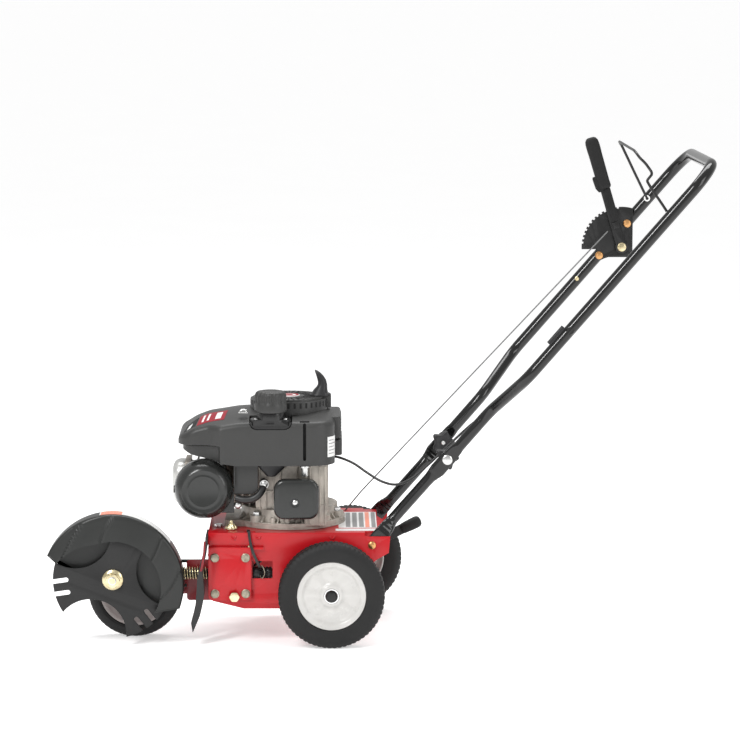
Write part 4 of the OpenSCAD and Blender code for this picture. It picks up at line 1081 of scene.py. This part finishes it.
def shroud_solid(inset, drop, fillet):
    """Closed body of the shroud; inset pulls its wall in and drop lowers its open edge."""
    rows = []
    half = shroud_half()
    ledge = (375.5, 377, 378.5, 380, 383)
    arcs = [90 * k / 7 for k in range(1, 8)]
    for x, y, nx, ny in half:
        column = []
        base = between(LOW, x) - drop
        crown = top_z(x, y) - inset - fillet
        crown = max(crown, base + 8)
        heights = [base, base + 4, *ledge, (383 + crown) / 2, crown]
        for k, z in enumerate(heights):
            z = min(max(z, base + 0.4 * k), crown - 0.4 * (len(heights) - 1 - k))
            nose = ease((-212 - x) / 10)
            d = inset + nose * 9.0 * ease((380 - z) / 3.5)
            column.append((x - nx * d, y - ny * d, z))
        for phi in arcs:
            d = inset + fillet * (1 - cos(radians(phi)))
            px, py = x - nx * d, y - ny * d
            column.append((px, py, top_z(px, py) - inset - fillet * (1 - sin(radians(phi)))))
        column += [(px, py + (SHROUD_MID - py) * k / 6, top_z(px, py + (SHROUD_MID - py) * k / 6) - inset)
                   for k in range(1, 7)]
        rows.append(column)
    m = len(rows[0])
    points = [p for column in rows for p in column]
    far = len(points)
    points += [(x, 2 * SHROUD_MID - y, z) for x, y, z in points]
    faces = []
    for i in range(len(rows) - 1):
        a, b = i * m, (i + 1) * m
        for k in range(m - 1):
            faces.append([a + k, b + k, b + k + 1, a + k + 1])
            faces.append([far + a + k + 1, far + b + k + 1, far + b + k, far + a + k])
        faces.append([a + m - 1, b + m - 1, far + b + m - 1, far + a + m - 1])
        faces.append([b, a, far + a, far + b])
    return Shape().add(points, faces)


inner = shroud_solid(3, 6, 7).tool()


def notch_outline(grow):
    """Filler notch seen from the side: straight sides and rounded lower corners."""
    low = [(x, z) for x, z in round_box(CAP[0] - 40 - grow, 413 - grow, CAP[0] + 40 + grow, 480, 15)
        if z < 440]
    return [(CAP[0] + 40 + grow, 444), (CAP[0] - 40 - grow, 444)] + low


notch = Shape().prism(notch_outline(1.2), 60, 120).tool()
well = Shape().prism(circle(*CRANK, 75.5, 96), 419, 470, "xy").tool()
slot = Shape().prism(round_box(-54, 352, -48, 424, 2.6), 66, 84).tool()
arch = Shape().prism(circle(*MUFFLER, 59, 96), 60, 135).tool()
cable_notch = Shape().block((-1, 143, 335), (12, 155, 355)).tool()
shroud_solid(0, 0, 9).make("engine_shroud", "shroud_plastic", "chassis", replaces=("engine_shroud",),
    angle=38, cut=(inner, notch, well, slot, arch, cable_notch))

cowl = Shape().prism(round_box(-6, 128, 21, 262, 7), 354, 384, "xy")
cowl.make("fan_cowl", "shroud_plastic", "chassis", bevel=2.5, segments=3)
cowl = Shape().prism(round_box(-6, 130, 18.5, 260, 7), 384, 431, "xy")
cowl.make("fan_cowl_top", "shroud_plastic", "chassis", bevel=6, segments=4)
neck = Shape()
neck.prism([(x, min(z, 426)) for x, z in notch_outline(0)], 76.5, 119.5)
for spans in (((39, 425), (39, 430), (38, 431.6), (36, 432.2)), ((26.5, 431), (26.5, 440), (25.5, 445))):
    neck.rings([[(x, min(max(y, 71.5), 119.5), z) for x, y in circle(*CAP, r, 96)] for r, z in spans])
neck.make("filler_flange", "tank_plastic", "chassis", angle=35)
# dark sheet behind the shroud's slot: painted shade standing for the shadow inside the shroud seen through
# the slot
slot_shade = Shape().block((-60, 82, 349), (-42, 84, 428))
slot_shade.make("slot_shade_sheet", SHADOW, "chassis", slot="dark_plastic")
fins = Shape()
for k in range(6):
    fins.block((17.5, 140, 390 + 6.2 * k), (19.8, 250, 392.6 + 6.2 * k))
fins.make("fan_louvres", "dark_plastic", "chassis", bevel=0.5)

panel = Shape().prism([(-187.5, 284), (-150, 284), (-141, 292), (-141, 349), (-187.5, 349)], 95, 98)
panel.block((-187.5, 77, 343), (-141, 96, 346))
panel.prism([(-187.5, 300), (-184.5, 300), (-184.5, 345), (-187.5, 345)], 86, 96)
panel.make("cowl_panel", "shroud_plastic", "chassis", bevel=1.0)
duct = Shape().rings([
    [(x, y, z) for x, y in round_box(*b, r)] for z, b, r in
    ((344, (-140, 96, -86, 122), 8), (334, (-139, 97, -90, 120), 8), (324, (-130, 99, -100, 117), 8),
     (317, (-124, 101, -107, 114), 6))])
duct.make("intake_duct", "dark_plastic", "chassis", bevel=1.0)


def decal(name, outline_x, y0, y1, mat, lift, skew=0.0):
    """Vinyl patch on the shroud's top, between two X values, leaning back by skew."""
    x0, x1 = outline_x
    rings = []
    for k in range(17):
        top = []
        for j in range(9):
            x, y = x0 + (x1 - x0) * k / 16 + skew * j / 8, y0 + (y1 - y0) * j / 8
            top.append((x, y, top_z(x, y) + lift))
        rings.append(top + [(x, y, z - 0.5) for x, y, z in reversed(top)])
    Shape().rings(rings).make(name, mat, "chassis", slot="shroud_plastic", angle=40)


decal("nose_decal_black", (-284, -262), 118, 176, SHADOW, 0.35, 6)
decal("nose_decal_red", (-259, -206), 114, 180, DECAL_RED, 0.35, 6)
decal("nose_decal_stripe", (-278, -271), 122, 150, WHITE, 0.6, 4)
for k, x in enumerate((-250, -240, -224)):
    decal("nose_decal_bar_%d" % k, (x, x + (4 if k < 2 else 11)), 124, 168, WHITE, 0.6, 4)

corner = Shape()
rings = []
for k in range(13):
    a = radians(-46 + 40 * k / 12)
    rings.append([(-39 + r * cos(a), 121 + r * sin(a), z)
                  for r, z in ((45.6, 357), (46.35, 357), (46.35, 396), (45.6, 396))])
corner.rings(rings).make("corner_label", WHITE, "chassis", slot="shroud_plastic", angle=30)
lines = Shape()
for row in range(5):
    rings = []
    for k in range(9):
        a = radians(-42 + (22 + 8 * (row % 2)) * k / 8)
        z = 363 + 6.4 * row
        rings.append([(-39 + r * cos(a), 121 + r * sin(a), h)
                      for r, h in ((46.2, z), (46.5, z), (46.5, z + 1.4), (46.2, z + 1.4))])
    lines.rings(rings)
lines.make("corner_label_rules", DECAL_GREY, "chassis", slot="shroud_plastic", angle=30)

clip = Shape().tube(smooth([(-176, 110, 440.8), (-174, 110, 444.5), (-169, 110, 446),
    (-164, 110, 444.5), (-161, 110, 440.8)], 5), 1.8, 10)
clip.block((-178, 104, 440.2), (-160, 116, 441.6))
clip.make("shroud_clip", "steel", "chassis", bevel=0.3)

# dark strips on the starter's top and round its side: painted shade standing for the shadowed insides of
# vent slots
vent_shade = Shape()
for k in range(40):
    a = 2 * pi * k / 40
    out, side = Vector((cos(a), sin(a), 0)), Vector((-sin(a), cos(a), 0))
    hub = Vector((CRANK[0], CRANK[1], 0))
    for r0, r1, z0, z1, half in ((30, 66, 461.8, 462.3, 1.7), (74.6, 75.3, 446, 456, 2.0)):
        vent_shade.rings([[hub + out * q + side * w + Vector((0, 0, z))
                      for q, z in ((r0, z0), (r1, z0), (r1, z1), (r0, z1))] for w in (-half, half)])
vent_shade.make("starter_vent_shade", SHADOW, "chassis", slot="dark_plastic", angle=30)
emblem = Shape().lathe([(0.01, 461.5), (21, 461.5), (21, 463.0), (20.4, 463.3), (0.01, 463.3)],
    (*CRANK, 0), "z", 64)
emblem.make("starter_emblem", WHITE, "chassis", slot="dark_plastic", angle=30)
emblem = Shape().lathe([(14, 462.5), (19.5, 462.5), (19.5, 463.6), (14, 463.6)], (*CRANK, 0), "z", 64)
emblem.rod(8, 462.5, 463.6, (*CRANK, 0), "z", 48, core=0.01)
emblem.make("starter_emblem_ring", DECAL_RED, "chassis", slot="dark_plastic", angle=30)


# ---- fuel cap, starter grip, engine trim ----

def fuel_cap():
    outline = [(27, 445.5), (30.2, 445.5), (31.3, 446.8), (31.5, 450), (31.3, 458), (30.6, 462),
        (29.2, 464.4), (28.7, 467), (28.7, 473), (28.6, 478), (27.6, 482), (24.8, 484.6), (20.5, 485.5),
        (14, 485.5), (12.5, 484.6), (0.01, 484.4), (0.01, 461), (27, 461)]

    def ribs(i, a, r, t):
        if 6 <= i <= 11:
            r += 1.5 * max(0.0, cos(20 * a)) ** 0.6 * (1 if i < 10 else 0.7)
        return r, t
    Shape().lathe(outline, (*CAP, 0), "z", 240, wave=ribs).make(
        "fuel_cap", "shroud_plastic", "filler_cap", slot="dark_plastic", replaces=("fuel_cap",), angle=40)


fuel_cap()


def starter_grip():
    spine = [((-21, 462.6), 21, 19), ((-21, 464.5), 21, 19), ((-20.5, 466.5), 18, 18),
        ((-19.5, 470), 14.6, 16), ((-18, 476), 11.2, 13), ((-16.6, 483), 9.3, 11.2),
        ((-17.6, 490), 8.4, 10.4), ((-20.6, 497), 7.0, 9.6), ((-24.6, 503.5), 5.1, 8.4),
        ((-28.6, 508.8), 2.9, 6.2), ((-31, 511.6), 1.1, 3.4)]
    rings = []
    for i, ((x, z), w, t) in enumerate(spine):
        ax, az = spine[max(i - 1, 0)][0]
        bx, bz = spine[min(i + 1, len(spine) - 1)][0]
        d = Vector((bx - ax, 0, bz - az)).normalized()
        if i < 3:
            d = Vector((0, 0, 1))
        rings.append(section(Vector((x, 195, z)), Vector((d.z, 0, -d.x)), Y_AXIS, w, t, 2.4, 40))
    Shape().rings(rings).make("starter_grip", "dark_plastic", "starter", replaces=("starter_grip",),
        angle=50)


starter_grip()

rope = Shape().tube([(-12, 195, 350), (-12, 195, 474.5)], 2.0, 14)
rope.make("starter_rope", "rope_cord", "starter", replaces=("starter_rope",))

can = Shape().lathe([(0.01, 66.6), (28, 66.6), (29.4, 66.0), (31, 66.6), (36, 66.8), (38.5, 65.9),
    (41, 65.3), (43, 66.2), (46.5, 69), (50.5, 74), (54, 81), (56, 89), (56.8, 96), (55.8, 97.2),
    (57, 98.4), (57, 116), (55, 123), (51, 128), (44, 131), (0.01, 131)], (MUFFLER[0], 0, MUFFLER[1]),
    "y", 120)
can.make("muffler", "muffler_steel", "chassis", replaces=("muffler",), angle=30)
bracket = Shape().prism([(-230, 247), (-187, 247), (-187, 290), (-205, 290), (-230, 262)], 100, 103)
bracket.make("muffler_bracket", "muffler_steel", "chassis", bevel=0.8)
port = Shape().lathe([(5, -303), (7, -303), (7.6, -301), (7.6, -296), (5, -296)], (0, 98, 294), "x", 32)
port.make("muffler_port", "muffler_steel", "chassis", angle=30)


def filter_cover():
    rings = []
    for y, inset, r in ((69, 0, 19), (61.5, 0, 19), (59, 0.6, 18.6), (57, 2.2, 17.6), (55.7, 4.6, 15.8),
                        (55.0, 8, 13.5)):
        rings.append([(x, y, z) for x, z in round_box(-110 + inset, 241 + inset, -24 - inset,
            318 - inset, r)])
    recess = Shape().prism(circle(-69.5, 274, 9, 48), 50, 58.6).tool()
    hollow = Shape().prism(round_box(-107, 244, -27, 315, 16), 61, 72).tool()
    Shape().rings(rings).make("air_filter_cover", "muffler_steel", "chassis", slot="shroud_plastic",
        replaces=("air_filter_cover",), angle=35, cut=(recess, hollow))


filter_cover()

cover = Shape().rings([[(x, y, z) for y, z in round_box(155 + q, 252 + q, 235 - q, 336 - q,
    24 - q * 0.6)] for x, q in ((-284.5, 0), (-294, 0), (-299, 1), (-303.5, 3.5), (-306.5, 7),
    (-308.4, 12), (-309, 19))])
cover.make("valve_cover", "cover_alloy", "chassis", replaces=("valve_cover",), angle=60)

trim = Shape()
dome_head(trim, -69.5, 274, 59, -1, 6.0, 3.4)
trim.rod(2.9, 58.5, 66, (-69.5, 0, 274), "y", 20, core=0.01)
for x in (-144, -88):
    trim.lathe([(0.01, 431), (4.6, 431), (4.4, 433.2), (3.0, 434.6), (0.01, 434.9)], (x, 79, 0), "z", 28)
for deg in (60, 130, 230, 345):
    a = radians(deg)
    x, y = CRANK[0] + 96 * cos(a), CRANK[1] + 96 * sin(a)
    trim.rod(8.6, 239.2, 240.4, (x, y, 0), "z", 28, core=0.01)
    trim.rings([[(x + q * cos(b), y + q * sin(b), z) for b in (pi * k / 3 for k in range(6))]
                for z, q in ((240, 6.9), (244.6, 6.9), (245.8, 5.8))])
    trim.rod(4, 216, 240, (x, y, 0), "z", 20, core=0.01)
trim.make("engine_bolts", "steel", "chassis", slot="zinc", replaces=("engine_bolts",), angle=30)


def radial_rib(shape, deg, profile, half):
    """Thin rib of (radius, height) points, standing out from the crankshaft's axis."""
    a = radians(deg)
    c, s = cos(a), sin(a)
    shape.rings([[(CRANK[0] + r * c - w * s, CRANK[1] + r * s + w * c, z) for r, z in profile]
                 for w in (-half, half)])


# ribs and steps of the casting
ribs = Shape()
for x in (-49, -41, -22, -12):
    ribs.block((x - 1.4, 89.6, 226), (x + 1.4, 94, 339))
ribs.block((-52, 89.8, 262), (-8, 94, 265))
for x in (-138, -126, -112, -98, -66):
    ribs.block((x - 1.5, 115, 250), (x + 1.5, 120, 336))
ribs.block((-146, 115.4, 284), (-53, 120, 288))
for k in range(18):
    if k % 3:
        radial_rib(ribs, 195 + 9 * k, ((90, 226), (106, 226), (105, 230), (97, 236), (90, 243)), 1.6)
for z0, z1, r0 in ((215.2, 219, 109.4), (224.6, 227.4, 108.9)):
    ribs.lathe([(100, z0), (r0, z0), (r0, z1), (100, z1)], (*CRANK, 0), "z", 90)
ribs.make("crankcase_ribs", "cast_alloy", "chassis", bevel=0.8)

nut = Shape().lathe([(0.01, 215.2), (4, 215.2), (4, 232), (3.2, 233), (0.01, 233)], (-193, 96, 0), "z",
    24)
star = []
for z, k in ((215.3, 0.86), (216.4, 1.0), (220, 1.0), (223, 0.8), (226, 0.62), (226.2, 0.4)):
    star.append([(-193 + k * (10 + 1.6 * cos(6 * a)) * cos(a), 96
        + k * (10 + 1.6 * cos(6 * a)) * sin(a), z) for a in (2 * pi * j / 72 for j in range(72))])
nut.rings(star).make("deck_nut", "zinc", "chassis", angle=40)

hose_route = [(-183, 90, 278), (-170, 86, 275), (-154, 85, 276), (-141, 86, 283), (-133, 92, 293),
    (-130, 103, 302), (-129.5, 117, 305)]
Shape().tube(smooth(hose_route, 8), 7, 24).make("breather_hose", "hose_rubber", "chassis",
    replaces=("breather_hose",), angle=60)
screw = Shape()
dome_head(screw, -129, 303, 95, -1, 7.2, 4.0)
screw.lathe([(3, 95), (8.4, 95), (8.4, 97), (3, 97)], (-129, 0, 303), "y", 32)
dome_head(screw, -180, 263, 97, -1, 7.5, 5.0)
screw.make("case_screws", "steel", "chassis", angle=40)

# cast bosses and ribs round the foot of the crankcase
foot = Shape()
for deg in (252, 268, 296, 318):
    a = radians(deg)
    x, y = CRANK[0] + 99 * cos(a), CRANK[1] + 99 * sin(a)
    foot.lathe([(0.01, 220), (6.5, 220), (5.8, 236), (5.0, 237), (0.01, 237)], (x, y, 0), "z", 24)
for deg in range(200, 345, 13):
    radial_rib(foot, deg, ((94, 226), (105, 226), (94, 240)), 1.5)
foot.make("crankcase_ribs", "cast_alloy", "chassis", bevel=0.6)

BELT_R, BELT_Y, IDLER = 24, 100.5, (-218, 124.5)
BELT_LOW, BELT_TOP, BELT_ENGINE = 105, 153, 160
belt = [(x, BELT_Y, z) for x, z in arc(*BLADE, BELT_R, 90, 270, 16)]
belt += [(-330, BELT_Y, BELT_LOW)]
belt += [(x, y, BELT_LOW) for x, y in arc(*IDLER, BELT_R, -90, -45, 3)]
belt += [(-193, 115.5, 107), (-160, 148, 124), (-134, 175, 143), (-112, 198.3, 159.5)]
belt += [(x, y, BELT_ENGINE) for x, y in arc(*CRANK, BELT_R, 136, -66, 16)]
belt += [(-89, 165.7, 160), (-120, 151.8, 159), (-160, 134, 157), (-195, 111, 153.5)]
belt += [(x, y, BELT_TOP) for x, y in arc(*IDLER, BELT_R, -57, -90, 3)]
belt += [(-330, BELT_Y, BELT_TOP)]
band = Shape().tube(belt, 3.2, 12, closed=True).make("v_belt", "belt_rubber", None,
    replaces=("v_belt",), angle=60)
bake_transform(band)
